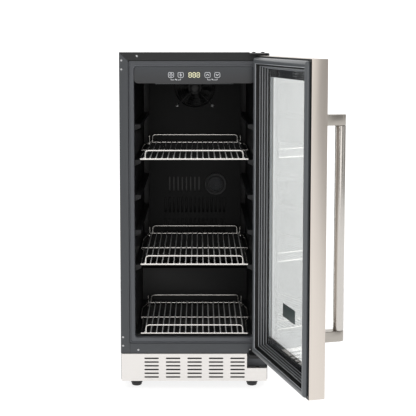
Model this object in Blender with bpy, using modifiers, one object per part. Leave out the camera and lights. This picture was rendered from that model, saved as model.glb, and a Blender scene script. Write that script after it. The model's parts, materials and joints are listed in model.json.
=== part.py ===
"""An under-counter drinks fridge with a glazed door, built as an assembly of separate parts.

Inside the model, X runs towards the hinge side, Y from the door to the back, and Z up from the floor,
with y = 0 on the front plane of the cabinet. The door stands open at DOOR_OPEN. The last step moves the
whole assembly so that the origin is under the middle of its bounding box.
"""

import math

import bmesh
import bpy
from mathutils import Matrix, Vector

# ---------------------------------------------------------------- driving dimensions, in metres

GAP = 0.0003                 # clearance between pieces that touch
SHEET = 0.0012               # steel sheet
PLASTIC = 0.002              # moulded wall

CABINET_WIDTH = 0.380
CABINET_HEIGHT = 0.870       # floor to the top of the front frame
CABINET_DEPTH = 0.550        # front plane to the back panel
ROOF_DROP = 0.011            # roof below the top of the front frame
FLOOR_CLEARANCE = 0.020      # floor to the base pan and the kick plate
KICK_HEIGHT = 0.072
KICK_TOP_GAP = 0.001

FRAME_SIDE = 0.0375          # outside to the opening
FRAME_TOP = 0.0355
FRAME_BOTTOM = 0.041
FRAME_THICK = 0.014
FRAME_CORNER = 0.003
OPENING_RADIUS = 0.009
STRIP_WIDTH = 0.0135         # breaker strip round the opening
STRIP_SET_BACK = 0.0015
STRIP_THICK = 0.0185

LINER_DEPTH = 0.508          # front plane to the liner's back wall
HUMP_FRONT = 0.395           # front plane to the step over the machine bay
HUMP_HEIGHT = 0.098          # step above the liner's floor
FOAM_WALL = 0.030            # foam between the step and the machine bay

RIB_PITCH = 0.0912           # between shelf levels
RIB_START = 0.004            # liner's floor to the lowest level
RIB_SKIPPED = (1,)           # levels left out, where the step begins
RIB_HEADROOM = 0.030         # least space over the highest level
RIB_REACH = 0.015
RIB_ROOT = 0.0163
RIB_TIP = 0.0088
RIB_FRONT = 0.0255

WIRE = 0.0030                # lengthwise shelf wires
CROSS_WIRE = 0.0040
FRONT_WIRE = 0.0050
WIRE_LAP = 0.0010            # how far crossing wires sink into each other at a weld
WIRE_PLAY = 0.02415          # liner's wall to the outermost lengthwise wires
WIRE_COUNT = 18
SHELF_FRONT = 0.018
SHELF_END_PLAY = 0.014       # liner's wall to the front and rear cross wires
SHELF_REST_PLAY = 0.0025     # liner's wall to the middle cross wire, which lies on the ribs
GUARD_PLAY = 0.0268          # liner's wall to the guards
GUARD_HEIGHT = 0.0205
GUARD_WIRE = 0.004
GUARD_CORNER = 0.010
DEEP_SHELF = 0.448
SHORT_SHELF = 0.332
SHELVES = (("upper", 5, DEEP_SHELF), ("middle", 2, DEEP_SHELF), ("lower", 0, SHORT_SHELF))

DUCT_FRONT = 0.474           # front plane to the duct panel
DUCT_SIDE_GAP = 0.017        # liner's wall to the duct panel
DUCT_SHEET = 0.0015
DUCT_TOP_GAP = 0.012
DUCT_BOTTOM_GAP = 0.008
VENT_WIDTH = 0.0055
VENT_LENGTH = 0.0437
VENT_PITCH = 0.0125
VENT_ROW_PITCH = 0.0631
VENT_FULL_ROW = 15
VENT_SHORT_ROW = 8
VENT_LOWEST = 0.188          # liner's floor to the lowest row of vents

FAN_SIZE = 0.120
FAN_THICK = 0.025
FAN_RIM = 0.002              # thinnest wall of the fan's frame
FAN_HOLE_INSET = 0.0075
FAN_CORNER = 0.004
FAN_BLADE = 0.0016
FAN_STRUT = 0.005
FAN_STRUT_THICK = 0.002
FAN_SEAT_SHARE = 0.16        # motor seat's radius in bores
FAN_HUB_SHARE = 0.18         # rotor's hub in bores
FAN_TIP_GAP = 0.003
BLADE_TURN = 35.0            # degrees
FAN_DROP = 0.077             # opening's top to the fan's axis
GUARD_RING = 0.0025
GUARD_RING_PITCH = 0.012
GUARD_RINGS = 4
GUARD_HUB = 0.012
GUARD_SPOKE = 0.004
CAP_RADIUS = 0.0325
CAP_MESH_RADIUS = 0.019
CAP_THICK = 0.008
CAP_SIDE = 0.062             # middle plane to the cap's axis

EVAPORATOR_WIDTH = 0.220
EVAPORATOR_HEIGHT = 0.260
EVAPORATOR_DROP = 0.006      # the fan's frame to the block
FIN_COUNT = 12
FIN_THICK = 0.002
FIN_REACH = 0.005            # how far the fins stand out of the block
FIN_CLEAR = 0.001            # fins to the walls before and behind them

PANEL_HEIGHT = 0.043
PANEL_SET_BACK = 0.006
PANEL_DEPTH = 0.060
WINDOW_WIDTH = 0.036
WINDOW_HEIGHT = 0.018
WINDOW_THICK = 0.002
WINDOW_LEVEL = 0.49          # the window's middle in panel heights
PANEL_WALL = 0.004
BOARD_WIDTH = 0.140
BOARD_THICK = 0.0016
BOARD_MARGIN = 0.008
LAMP_WIDTH = 0.200
LAMP_DEPTH = 0.014
LAMP_THICK = 0.003

DOOR_SIDE_GAP = 0.001        # cabinet's side to the door's edge
DOOR_BOTTOM_RISE = 0.0114    # bottom of the front frame to the bottom of the door
DOOR_TOP_GAP = 0.008         # top of the front frame to the top of the door
DOOR_THICK = 0.0375
DOOR_SKIN = 0.001
DOOR_OPEN = 105.3            # degrees, from closed
HINGE_INSET = 0.008          # door's edge to the hinge axis
HINGE_DEPTH = 0.0233         # door's inner plane to the hinge axis
FRONT_BORDER = 0.048         # steel border round the window
HINGE_BORDER = 0.035         # the same border on the hinge side
GASKET_INSET = 0.004
GASKET_WIDTH = 0.016
GASKET_THICK = 0.012
BEZEL_WIDTH = 0.032          # door's edge to the inner frame's opening
BEZEL_PLATE = 0.003
BEZEL_LIP = 0.0025
GLASS_EDGE = 0.026           # door's edge to the edge of the glass
GLASS_THICK = 0.004
SPACER_INSET = 0.002         # glass edge to the spacer
SPACER_WIDTH = 0.010
GLASS_RECESS = 0.021         # inner plane of the door to the inner pane

HANDLE_DIAMETER = 0.024
HANDLE_INSET = 0.030         # free edge to the bar's axis
HANDLE_REACH = 0.043         # door's face to the bar's axis
HANDLE_SPAN = 0.4875         # between the middles of the brackets
BRACKET_HEIGHT = 0.024

LABEL_WIDTH = 0.084
LABEL_HEIGHT = 0.033
LABEL_RISE = 0.1485          # door's bottom edge to the middle of the label
LABEL_THICK = 0.0004
LABEL_CORNER = 0.003

HINGE_PLATE = 0.003
HINGE_PLATE_WIDTH = 0.047
HINGE_PLATE_REACH = 0.045    # hinge plates in front of the cabinet
HINGE_SIDE_GAP = 0.003
HINGE_LIFT = 0.003           # door to the hinge plates above and below it
FOOT_PLATE_DROP = 0.013      # bottom of the front frame to the lower hinge's foot
PIN_RADIUS = 0.0035
PIN_LENGTH = 0.014
PIN_CLEARANCE = 0.0002
BUSH_RADIUS = 0.006
BUSH_LENGTH = 0.012
BUSH_RISE = 0.001            # how far the bushes stand out of the door's edges
SCREW_HEAD = 0.0045
SCREW_SHANK = 0.002
SCREW_LENGTH = 0.010

KICK_SIDE_GAP = 0.002        # cabinet's side to the kick plate
NOTCH_WIDTH = 0.0516         # cut-out of the kick plate, under the hinge
NOTCH_HEIGHT = 0.038
LEDGE_DEPTH = 0.021
LEDGE_HOLE = 0.0028
BLOCK_DEPTH = 0.040
BLOCK_SIDE_GAP = 0.001
SLOT_COLUMNS = 5
SLOT_ROWS = 6
SLOT_LENGTH = 0.0378
SLOT_HEIGHT = 0.0039
SLOT_COLUMN_PITCH = 0.0556
SLOT_ROW_PITCH = 0.0099
SLOT_FIRST_LEFT = 0.0607     # cabinet's side to the first slot
SLOT_FIRST_DROP = 0.010      # kick plate's top to the first row's top

FOOT_RADIUS = 0.015
FOOT_INSET_X = 0.039
FOOT_INSET_Y = 0.035
FOOT_STEM = 0.004
FOOT_STEM_RISE = 0.020

COMPRESSOR_RADIUS = 0.054
COMPRESSOR_HEIGHT = 0.150
COMPRESSOR_SEAT = 0.030      # radius of the mount under the can
COMPRESSOR_RISE = 0.026      # height of the mount, which clears the stems of the feet
COMPRESSOR_SIDE = 0.020      # cabinet's side to the can
COMPRESSOR_DOME = 0.45       # height of the dome in radii
COOLER_FAN_SIZE = 0.096
COOLER_FAN_THICK = 0.022
COOLER_FAN_BORE = 0.090
COOLER_FAN_SIDE = -0.055     # middle plane to the fan's front
COOLER_FAN_RISE = 0.016      # bay's floor to the fan's frame
COIL_TUBE = 0.006
COIL_RUNS = 6
COIL_SIDE = 0.055            # cabinet's side to the coil
COIL_MARGIN = 0.022          # coil to the bay's floor and roof
TRAY_LEFT = -0.024
TRAY_RIGHT = 0.052
TRAY_RISE = 0.014            # bay's floor to the tray
TRAY_HEIGHT = 0.020
DRAIN_WALL = 0.0015
GLAND_SIDE = 0.045           # cabinet's side to the gland's axis
GLAND_RISE = 0.026           # cover's lower edge to the gland's axis
GLAND_RADIUS = 0.011
GLAND_NECK = 0.008
GLAND_WAY = 0.0035
LOUVRE_COLUMNS = 4
LOUVRE_ROWS = 6
LOUVRE_LENGTH = 0.050
LOUVRE_HEIGHT = 0.005
LOUVRE_LEFT = -0.110
LOUVRE_COLUMN_PITCH = 0.066
LOUVRE_ROW_PITCH = 0.016
LOUVRE_LOWEST = 0.050        # cover's lower edge to the lowest louvre
COVER_RISE = 0.014           # base pan to the cover

ROUND = 24                   # sides of a round piece
SMALL_ROUND = 12
CORNER_STEPS = 3

# ---------------------------------------------------------------- sizes worked out from them

HALF_WIDTH = CABINET_WIDTH / 2
ROOF = CABINET_HEIGHT - ROOF_DROP
FRAME_LOW = FLOOR_CLEARANCE + KICK_HEIGHT + KICK_TOP_GAP
OPEN_X = HALF_WIDTH - FRAME_SIDE
OPEN_LOW = FRAME_LOW + FRAME_BOTTOM
OPEN_HIGH = CABINET_HEIGHT - FRAME_TOP
STRIP_BACK = STRIP_SET_BACK + STRIP_THICK
LINER_FRONT = STRIP_BACK + GAP
HUMP_TOP = OPEN_LOW + HUMP_HEIGHT
BAY_FRONT = HUMP_FRONT + PLASTIC + FOAM_WALL
BAY_TOP = HUMP_TOP - PLASTIC - FOAM_WALL
INNER_X = HALF_WIDTH - SHEET - GAP
BACK_INNER = CABINET_DEPTH - SHEET - GAP
FOAM_LOW = FRAME_LOW + SHEET + 2 * GAP
BAY_FLOOR = FLOOR_CLEARANCE + SHEET
BAY_BACK = BAY_FRONT + SHEET + GAP
BAY_MIDDLE = (BAY_BACK + BACK_INNER) / 2

RIB_LEVELS = [level for level in range(20) if level not in RIB_SKIPPED
              and RIB_START + level * RIB_PITCH < OPEN_HIGH - PANEL_HEIGHT - RIB_HEADROOM - OPEN_LOW]
SHELF_END_WIDTH = 2 * (OPEN_X - SHELF_END_PLAY)
SHELF_REST_WIDTH = 2 * (OPEN_X - SHELF_REST_PLAY)
GUARD_WIDTH = 2 * (OPEN_X - GUARD_PLAY)
WIRE_PITCH = 2 * (OPEN_X - WIRE_PLAY) / (WIRE_COUNT - 1)
DUCT_WIDTH = 2 * (OPEN_X - DUCT_SIDE_GAP)

FAN_BORE = FAN_SIZE - 2 * FAN_RIM
FAN_HOLES = FAN_SIZE - 2 * FAN_HOLE_INSET
FAN_Z = OPEN_HIGH - FAN_DROP
PANEL_LOW = OPEN_HIGH - PANEL_HEIGHT
DUCT_LOW = HUMP_TOP + DUCT_BOTTOM_GAP
DUCT_HIGH = OPEN_HIGH - DUCT_TOP_GAP
DUCT_BACK = DUCT_FRONT + DUCT_SHEET
DRAIN_X = 0.015
DRAIN_Y = (DUCT_BACK + LINER_DEPTH) / 2
DRAIN_RADIUS = 0.005

DOOR_WIDTH = CABINET_WIDTH - 2 * DOOR_SIDE_GAP
DOOR_TOP = CABINET_HEIGHT - DOOR_TOP_GAP
DOOR_LOW = FRAME_LOW + DOOR_BOTTOM_RISE
DOOR_HEIGHT = DOOR_TOP - DOOR_LOW
HINGE_X = DOOR_WIDTH / 2 - HINGE_INSET
HINGE_Y = -(HINGE_DEPTH + GASKET_THICK + 2 * GAP)
DOOR_RIGHT = HINGE_INSET
DOOR_LEFT = HINGE_INSET - DOOR_WIDTH
DOOR_INNER = HINGE_DEPTH
DOOR_OUTER = HINGE_DEPTH - DOOR_THICK
INNER_PANE = DOOR_INNER - GLASS_RECESS
OUTER_PANE = DOOR_OUTER + DOOR_SKIN + GAP
HANDLE_X = DOOR_LEFT + HANDLE_INSET
HANDLE_Y = DOOR_OUTER - HANDLE_REACH
HANDLE_Z = DOOR_LOW + DOOR_HEIGHT / 2

UPPER_PLATE_LOW = DOOR_TOP + HINGE_LIFT
LOWER_PLATE_HIGH = DOOR_LOW - HINGE_LIFT
FOOT_PLATE_LOW = FRAME_LOW - FOOT_PLATE_DROP
NOTCH_LEFT = HALF_WIDTH - KICK_SIDE_GAP - NOTCH_WIDTH
LEDGE_Z = FLOOR_CLEARANCE + KICK_HEIGHT - NOTCH_HEIGHT
HINGE_RIGHT = HALF_WIDTH - HINGE_SIDE_GAP
HINGE_LEFT = HINGE_RIGHT - HINGE_PLATE_WIDTH

FACING_FRONT = Matrix.Rotation(math.pi / 2, 4, "X")
FACING_SIDE = Matrix(((0, 0, 1, 0), (1, 0, 0, 0), (0, 1, 0, 0), (0, 0, 0, 1)))
FACING_UP = Matrix.Identity(4)

# ---------------------------------------------------------------- scene, collections, materials


def clear_scene():
    """Removes every object that the file opened with."""
    for thing in list(bpy.data.objects):
        bpy.data.objects.remove(thing, do_unlink=True)


def new_collection(name):
    made = bpy.data.collections.new(name)
    bpy.context.scene.collection.children.link(made)
    return made


def finish(name, colour, roughness, metallic=0.0):
    """A Principled material."""
    made = bpy.data.materials.new(name)
    made.use_nodes = True
    shader = made.node_tree.nodes["Principled BSDF"]
    shader.inputs["Base Color"].default_value = (*colour, 1.0)
    shader.inputs["Roughness"].default_value = roughness
    shader.inputs["Metallic"].default_value = metallic
    made.diffuse_color = (*colour, 1.0)
    return made


clear_scene()
PARTS = new_collection("drinks_fridge")
CUTTERS = new_collection("cutters")

GREY_PAINT = finish("grey_paint", (0.075, 0.080, 0.088), 0.45)
GREY_STRIP = finish("grey_strip", (0.105, 0.115, 0.125), 0.40)
BLACK_PLASTIC = finish("black_plastic", (0.010, 0.011, 0.012), 0.45)
DARK_PANEL = finish("dark_panel", (0.050, 0.057, 0.066), 0.30)
STAINLESS = finish("stainless", (0.66, 0.63, 0.60), 0.28, 1.0)
ZINC_STEEL = finish("zinc_steel", (0.52, 0.53, 0.54), 0.40, 1.0)
BLACK_STEEL = finish("black_steel", (0.015, 0.015, 0.016), 0.40, 0.6)
WHITE_WIRE = finish("bright_wire", (0.78, 0.77, 0.74), 0.22, 1.0)
RUBBER = finish("rubber", (0.12, 0.13, 0.14), 0.60)
GLASS = finish("glass", (0.80, 0.86, 0.85), 0.02)
FOAM = finish("foam", (0.80, 0.72, 0.50), 0.90)
ALUMINIUM = finish("aluminium", (0.72, 0.73, 0.74), 0.35, 1.0)
CIRCUIT = finish("circuit", (0.02, 0.16, 0.07), 0.50)
LAMP_WHITE = finish("lamp_white", (0.90, 0.92, 0.95), 0.40)
GREY_PLASTIC = finish("grey_plastic", (0.16, 0.17, 0.18), 0.50)
LABEL_GREY = finish("label_grey", (0.07, 0.09, 0.09), 0.45)

# ---------------------------------------------------------------- homes: the frames that pieces sit in


def home(name, parent, place=(0, 0, 0), turn=0.0):
    """An empty that carries one moving group, on its joint's axis."""
    made = bpy.data.objects.new(name, None)
    PARTS.objects.link(made)
    made.parent = parent
    made.location = place
    made.rotation_euler = (0, 0, math.radians(turn))
    return made


BASE = home("fridge_base", None)
DOOR = home("door_hinge_axis", BASE, (HINGE_X, HINGE_Y, 0), DOOR_OPEN)

# ---------------------------------------------------------------- modelling helpers


def mesh_from(name, cage):
    """Turns a bmesh into a mesh with its faces pointing out."""
    bmesh.ops.recalc_face_normals(cage, faces=cage.faces)
    mesh = bpy.data.meshes.new(name)
    cage.to_mesh(mesh)
    cage.free()
    return mesh


def add_part(name, mesh, material, at=BASE):
    made = bpy.data.objects.new(name, mesh)
    mesh.materials.append(material)
    PARTS.objects.link(made)
    made.parent = at
    return made


def add_cutter(name, mesh, at):
    made = bpy.data.objects.new(name, mesh)
    CUTTERS.objects.link(made)
    made.parent = at
    made.hide_render = True
    made.display_type = "WIRE"
    return made


def boxes(name, spans):
    """One mesh of separate boxes, each given by its lowest and highest corner."""
    cage = bmesh.new()
    for low, high in spans:
        low, high = Vector(low), Vector(high)
        place = Matrix.Translation((low + high) / 2) @ Matrix.Diagonal((*(high - low), 1.0))
        bmesh.ops.create_cube(cage, size=1.0, matrix=place)
    return mesh_from(name, cage)


def rods(name, places, radius, length, axis=(0, 0, 1), sides=ROUND):
    """One mesh of separate cylinders, each with its middle at a place."""
    turn = Vector((0, 0, 1)).rotation_difference(Vector(axis)).to_matrix().to_4x4()
    cage = bmesh.new()
    for place in places:
        bmesh.ops.create_cone(cage, cap_ends=True, segments=sides, radius1=radius, radius2=radius,
                              depth=length, matrix=Matrix.Translation(place) @ turn)
    return mesh_from(name, cage)


def rounded(left, right, low, high, radius, steps=CORNER_STEPS):
    """The outline of a rectangle with round corners."""
    if radius == 0:
        return [(right, high), (left, high), (left, low), (right, low)]
    middles = ((right - radius, high - radius), (left + radius, high - radius),
               (left + radius, low + radius), (right - radius, low + radius))
    points = []
    for quarter, (u, v) in enumerate(middles):
        for step in range(steps + 1):
            angle = (quarter + step / steps) * math.pi / 2
            points.append((u + radius * math.cos(angle), v + radius * math.sin(angle)))
    return points


def circle(u, v, radius, sides=ROUND):
    angles = [2 * math.pi * step / sides for step in range(sides)]
    return [(u + radius * math.cos(a), v + radius * math.sin(a)) for a in angles]


def plate(name, outlines, low, high, facing):
    """A flat piece between two levels of its facing axis. Outlines inside others are holes."""
    curve = bpy.data.curves.new(name, "CURVE")
    curve.dimensions = "2D"
    curve.fill_mode = "BOTH"
    curve.extrude = (high - low) / 2
    for points in outlines:
        spline = curve.splines.new("POLY")
        spline.points.add(len(points) - 1)
        spline.use_cyclic_u = True
        for point, (u, v) in zip(spline.points, points):
            point.co = (u, v, 0, 1)
    mesh = mesh_of_curve(name, curve)
    lift = Matrix.Translation((0, 0, (low + high) / 2))
    mesh.transform(facing @ lift)
    return mesh


def mesh_of_curve(name, curve):
    """The curve's evaluated mesh, with its caps welded to its sides."""
    guide = bpy.data.objects.new(name, curve)
    CUTTERS.objects.link(guide)
    bpy.context.view_layer.update()
    graph = bpy.context.evaluated_depsgraph_get()
    raw = bpy.data.meshes.new_from_object(guide.evaluated_get(graph))
    cage = bmesh.new()
    cage.from_mesh(raw)
    bmesh.ops.remove_doubles(cage, verts=cage.verts, dist=1e-6)
    bpy.data.objects.remove(guide)
    bpy.data.meshes.remove(raw)
    return mesh_from(name, cage)


def front_plate(name, outlines, near, far):
    """A plate in the XZ plane between y = near and y = far."""
    return plate(name, outlines, -far, -near, FACING_FRONT)


def prisms(name, outlines, near, far):
    """One mesh of separate prisms in the XZ plane, between y = near and y = far."""
    cage = bmesh.new()
    for points in outlines:
        cap = cage.faces.new([cage.verts.new((u, near, v)) for u, v in points])
        grown = bmesh.ops.extrude_face_region(cage, geom=[cap])["geom"]
        moved = [item for item in grown if isinstance(item, bmesh.types.BMVert)]
        bmesh.ops.translate(cage, verts=moved, vec=(0, far - near, 0))
    return mesh_from(name, cage)


def cut_through(part, outlines, near, far):
    """Cuts holes through a plate that lies between y = near and y = far."""
    cut(part, prisms("holes", outlines, near - PLASTIC, far + PLASTIC))


def side_prism(name, outline, left, right):
    """A prism whose outline lies in the YZ plane, between x = left and x = right."""
    return plate(name, [outline], left, right, FACING_SIDE)


def tube(name, points, radius, resolution=1):
    """A round tube along a path."""
    curve = bpy.data.curves.new(name, "CURVE")
    curve.dimensions = "3D"
    curve.bevel_depth = radius
    curve.bevel_resolution = resolution
    curve.use_fill_caps = True
    spline = curve.splines.new("POLY")
    spline.points.add(len(points) - 1)
    for point, place in zip(spline.points, points):
        point.co = (*place, 1)
    return mesh_of_curve(name, curve)


def turned(part, profile_steps=ROUND, axis="Z"):
    """Turns a part's profile round its own axis."""
    change = part.modifiers.new("turn", "SCREW")
    change.axis = axis
    change.steps = profile_steps
    change.render_steps = profile_steps
    change.use_merge_vertices = True
    change.merge_threshold = 0.00005


def profile(name, points):
    """An open profile in the XZ plane, down its outer side, as edges only."""
    cage = bmesh.new()
    corners = [cage.verts.new((r, 0, z)) for r, z in points]
    for first, second in zip(corners, corners[1:]):
        cage.edges.new((first, second))
    mesh = bpy.data.meshes.new(name)
    cage.to_mesh(mesh)
    cage.free()
    return mesh


def join(part, mesh, operation="UNION"):
    """Adds a mesh to a part, or takes it away, with a Boolean."""
    other = add_cutter(f"{part.name}_{operation.lower()}_{len(part.modifiers)}", mesh, part.parent)
    other.location = part.location
    change = part.modifiers.new(operation.lower(), "BOOLEAN")
    change.operation = operation
    change.solver = "EXACT"
    change.object = other


def cut(part, mesh):
    join(part, mesh, "DIFFERENCE")


def smooth(part, angle=35.0):
    """Shades a round piece smooth and keeps its edges sharp."""
    part.data.shade_smooth()
    part.data.set_sharp_from_angle(angle=math.radians(angle))


# ---------------------------------------------------------------- cabinet


def make_cabinet_shell():
    """One sheet folded over both sides and the roof."""
    inner = HALF_WIDTH - SHEET
    outline = [(-HALF_WIDTH, FLOOR_CLEARANCE), (-inner, FLOOR_CLEARANCE), (-inner, ROOF - SHEET),
               (inner, ROOF - SHEET), (inner, FLOOR_CLEARANCE), (HALF_WIDTH, FLOOR_CLEARANCE),
               (HALF_WIDTH, ROOF), (-HALF_WIDTH, ROOF)]
    mesh = front_plate("cabinet_shell", [outline], FRAME_THICK + GAP, CABINET_DEPTH)
    add_part("cabinet_shell", mesh, GREY_PAINT)


def make_front_frame():
    """The painted frame that the door closes against, notched for the upper hinge plate."""
    outer = rounded(-HALF_WIDTH, HALF_WIDTH, FRAME_LOW, CABINET_HEIGHT, FRAME_CORNER)
    reach = STRIP_WIDTH + GAP
    inner = rounded(-OPEN_X - reach, OPEN_X + reach, OPEN_LOW - reach, OPEN_HIGH + reach, OPENING_RADIUS)
    frame = add_part("front_frame", front_plate("front_frame", [outer, inner], 0, FRAME_THICK), GREY_PAINT)
    notch = boxes("notch", [((HINGE_LEFT - GAP, -FRAME_THICK, UPPER_PLATE_LOW - GAP),
                             (HALF_WIDTH + FRAME_THICK, 2 * FRAME_THICK, CABINET_HEIGHT + FRAME_THICK))])
    cut(frame, notch)


def make_breaker_strip():
    """The plastic strip between the front frame and the liner."""
    outer = rounded(-OPEN_X - STRIP_WIDTH, OPEN_X + STRIP_WIDTH, OPEN_LOW - STRIP_WIDTH,
                    OPEN_HIGH + STRIP_WIDTH, OPENING_RADIUS)
    inner = rounded(-OPEN_X, OPEN_X, OPEN_LOW, OPEN_HIGH, OPENING_RADIUS)
    mesh = front_plate("breaker_strip", [outer, inner], STRIP_SET_BACK, STRIP_BACK)
    add_part("breaker_strip", mesh, GREY_STRIP)


def liner_outline(front, wall):
    """The liner's profile seen from the side, grown outwards by a wall."""
    return [(front, OPEN_LOW - wall), (HUMP_FRONT + wall, OPEN_LOW - wall),
            (HUMP_FRONT + wall, HUMP_TOP - wall), (LINER_DEPTH + wall, HUMP_TOP - wall),
            (LINER_DEPTH + wall, OPEN_HIGH + wall), (front, OPEN_HIGH + wall)]


def rib_top(level):
    """The height of the shelf guides' upper faces at a level."""
    return OPEN_LOW + RIB_START + level * RIB_PITCH


def make_liner():
    """The moulded inner box, with a step at the back and shelf guides on both sides."""
    wall_x = OPEN_X + PLASTIC
    body = side_prism("inner_liner", liner_outline(LINER_FRONT, PLASTIC), -wall_x, wall_x)
    liner = add_part("inner_liner", body, BLACK_PLASTIC)
    inside = list(liner_outline(LINER_FRONT - PLASTIC, 0))
    inside[1] = (HUMP_FRONT, OPEN_LOW)
    cut(liner, side_prism("inside", inside, -OPEN_X, OPEN_X))
    for side in (-1, 1):
        join(liner, rib_mesh(side))
    cut(liner, rods("drain_hole", [(DRAIN_X, DRAIN_Y, HUMP_TOP)], DRAIN_RADIUS + GAP, 4 * PLASTIC,
                    sides=SMALL_ROUND))


def rib_mesh(side):
    """The shelf guides of one side wall, as prisms that run from front to back."""
    root = OPEN_X + PLASTIC / 2
    tip = OPEN_X - RIB_REACH
    cage = bmesh.new()
    for level in RIB_LEVELS:
        top = rib_top(level)
        low_root = top - RIB_ROOT if level else OPEN_LOW - PLASTIC / 2
        low_tip = top - RIB_TIP if level else OPEN_LOW - PLASTIC / 2
        back = DUCT_FRONT if level > 1 else HUMP_FRONT - GAP
        section = [(side * root, top), (side * tip, top), (side * tip, low_tip), (side * root, low_root)]
        prism = front_plate("rib", [section], RIB_FRONT, back)
        cage.from_mesh(prism)
        bpy.data.meshes.remove(prism)
    return mesh_from("ribs", cage)


def make_foam():
    """Insulation that fills the space between the shell and the liner."""
    front = LINER_FRONT
    outline = [(front, FOAM_LOW), (BAY_FRONT, FOAM_LOW), (BAY_FRONT, BAY_TOP), (BACK_INNER, BAY_TOP),
               (BACK_INNER, ROOF - SHEET - GAP), (front, ROOF - SHEET - GAP)]
    side = INNER_X
    foam = add_part("insulation_foam", side_prism("insulation_foam", outline, -side, side), FOAM)
    wall = PLASTIC + GAP
    hollow = liner_outline(front - PLASTIC, wall)
    cut(foam, side_prism("liner_space", hollow, -OPEN_X - wall, OPEN_X + wall))
    middle = (HUMP_TOP + BAY_TOP) / 2
    cut(foam, rods("drain_way", [(DRAIN_X, DRAIN_Y, middle)], DRAIN_RADIUS + GAP, 3 * FOAM_WALL,
                   sides=SMALL_ROUND))


def make_bay_ceiling():
    """The folded sheet under the foam, which is also the roof of the machine bay."""
    low = FOAM_LOW - GAP - SHEET
    back = BAY_FRONT + GAP
    top = BAY_TOP - GAP
    outline = [(FRAME_THICK + GAP, low), (back + SHEET, low), (back + SHEET, top - SHEET),
               (BACK_INNER, top - SHEET), (BACK_INNER, top), (back, top), (back, low + SHEET),
               (FRAME_THICK + GAP, low + SHEET)]
    ceiling = add_part("bay_ceiling", side_prism("bay_ceiling", outline, -INNER_X, INNER_X), ZINC_STEEL)
    cut(ceiling, rods("drain_way", [(DRAIN_X, DRAIN_Y, top)], DRAIN_RADIUS + GAP, 8 * SHEET,
                      sides=SMALL_ROUND))


def make_back_panel():
    low = BAY_TOP + GAP
    spans = [((-INNER_X, CABINET_DEPTH - SHEET, low), (INNER_X, CABINET_DEPTH, ROOF - SHEET - GAP))]
    add_part("back_panel", boxes("back_panel", spans), GREY_PAINT)


def foot_places():
    """Where the four feet stand, seen from above."""
    x = HALF_WIDTH - FOOT_INSET_X
    return [(side * x, y) for y in (FOOT_INSET_Y, CABINET_DEPTH - FOOT_INSET_Y) for side in (-1, 1)]


def make_base_pan():
    """The tray that carries the compressor and takes the feet."""
    front = FRAME_THICK + GAP
    rim = 0.012
    low, high = FLOOR_CLEARANCE, FLOOR_CLEARANCE + rim
    outer = [((-INNER_X, front, low), (INNER_X, BACK_INNER, high))]
    pan = add_part("base_pan", boxes("base_pan", outer), ZINC_STEEL)
    cut(pan, boxes("inside", [((-INNER_X + SHEET, front + SHEET, low + SHEET),
                               (INNER_X - SHEET, BACK_INNER - SHEET, high + rim))]))
    cut(pan, rods("foot_holes", [(x, y, low) for x, y in foot_places()], FOOT_STEM + GAP, 4 * SHEET,
                  sides=SMALL_ROUND))


def kick_slots():
    """The outlines of the ventilation slots."""
    top = FLOOR_CLEARANCE + KICK_HEIGHT - SLOT_FIRST_DROP
    outlines = []
    for column in range(SLOT_COLUMNS):
        left = -HALF_WIDTH + SLOT_FIRST_LEFT + column * SLOT_COLUMN_PITCH
        for row in range(SLOT_ROWS):
            high = top - row * SLOT_ROW_PITCH
            outlines.append(rounded(left, left + SLOT_LENGTH, high - SLOT_HEIGHT, high,
                                    SLOT_HEIGHT / 2, 2))
    return outlines


def make_kick_plate():
    """The stainless plate under the door, notched under the hinge, with a folded ledge in the notch."""
    edge = HALF_WIDTH - KICK_SIDE_GAP
    top = FLOOR_CLEARANCE + KICK_HEIGHT
    outline = [(-edge, FLOOR_CLEARANCE), (edge, FLOOR_CLEARANCE), (edge, LEDGE_Z),
               (NOTCH_LEFT, LEDGE_Z), (NOTCH_LEFT, top), (-edge, top)]
    kick = add_part("kick_plate", prisms("kick_plate", [outline], 0, SHEET), STAINLESS)
    cut_through(kick, kick_slots(), 0, SHEET)
    ledge = ((NOTCH_LEFT, SHEET / 2, LEDGE_Z - SHEET), (edge, LEDGE_DEPTH, LEDGE_Z - GAP))
    join(kick, boxes("ledge", [ledge]))
    hole = [((NOTCH_LEFT + edge) / 2, LEDGE_DEPTH / 2, LEDGE_Z)]
    cut(kick, rods("ledge_hole", hole, LEDGE_HOLE, 4 * SHEET, sides=SMALL_ROUND))


def make_corner_block():
    """The grey block in the notch, which the lower hinge is screwed to."""
    near, far = LEDGE_DEPTH + GAP, LEDGE_DEPTH + BLOCK_DEPTH
    low, high = LEDGE_Z, FOOT_PLATE_LOW - GAP
    block = boxes("corner_block", [((NOTCH_LEFT + BLOCK_SIDE_GAP, near, low), (HINGE_RIGHT, far, high))])
    part = add_part("corner_block", block, GREY_PLASTIC)
    holes = [(x, y, high) for x, y, z in lower_screw_places()]
    cut(part, rods("screw_holes", holes, SCREW_SHANK + GAP, 2 * SCREW_LENGTH, sides=SMALL_ROUND))


def make_feet():
    """Four levelling feet with threaded stems."""
    names = ("foot_front_left", "foot_front_right", "foot_back_left", "foot_back_right")
    top = FLOOR_CLEARANCE - GAP
    points = [(0, top + FOOT_STEM_RISE), (FOOT_STEM, top + FOOT_STEM_RISE), (FOOT_STEM, top),
              (FOOT_RADIUS, top), (FOOT_RADIUS, top * 0.35), (FOOT_RADIUS * 0.8, 0), (0, 0)]
    for name, (x, y) in zip(names, foot_places()):
        at = home(name + "_axis", BASE, (x, y, 0))
        part = add_part(name, profile(name, points), BLACK_PLASTIC, at)
        turned(part, SMALL_ROUND)
        smooth(part)


# ---------------------------------------------------------------- cold side


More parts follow.
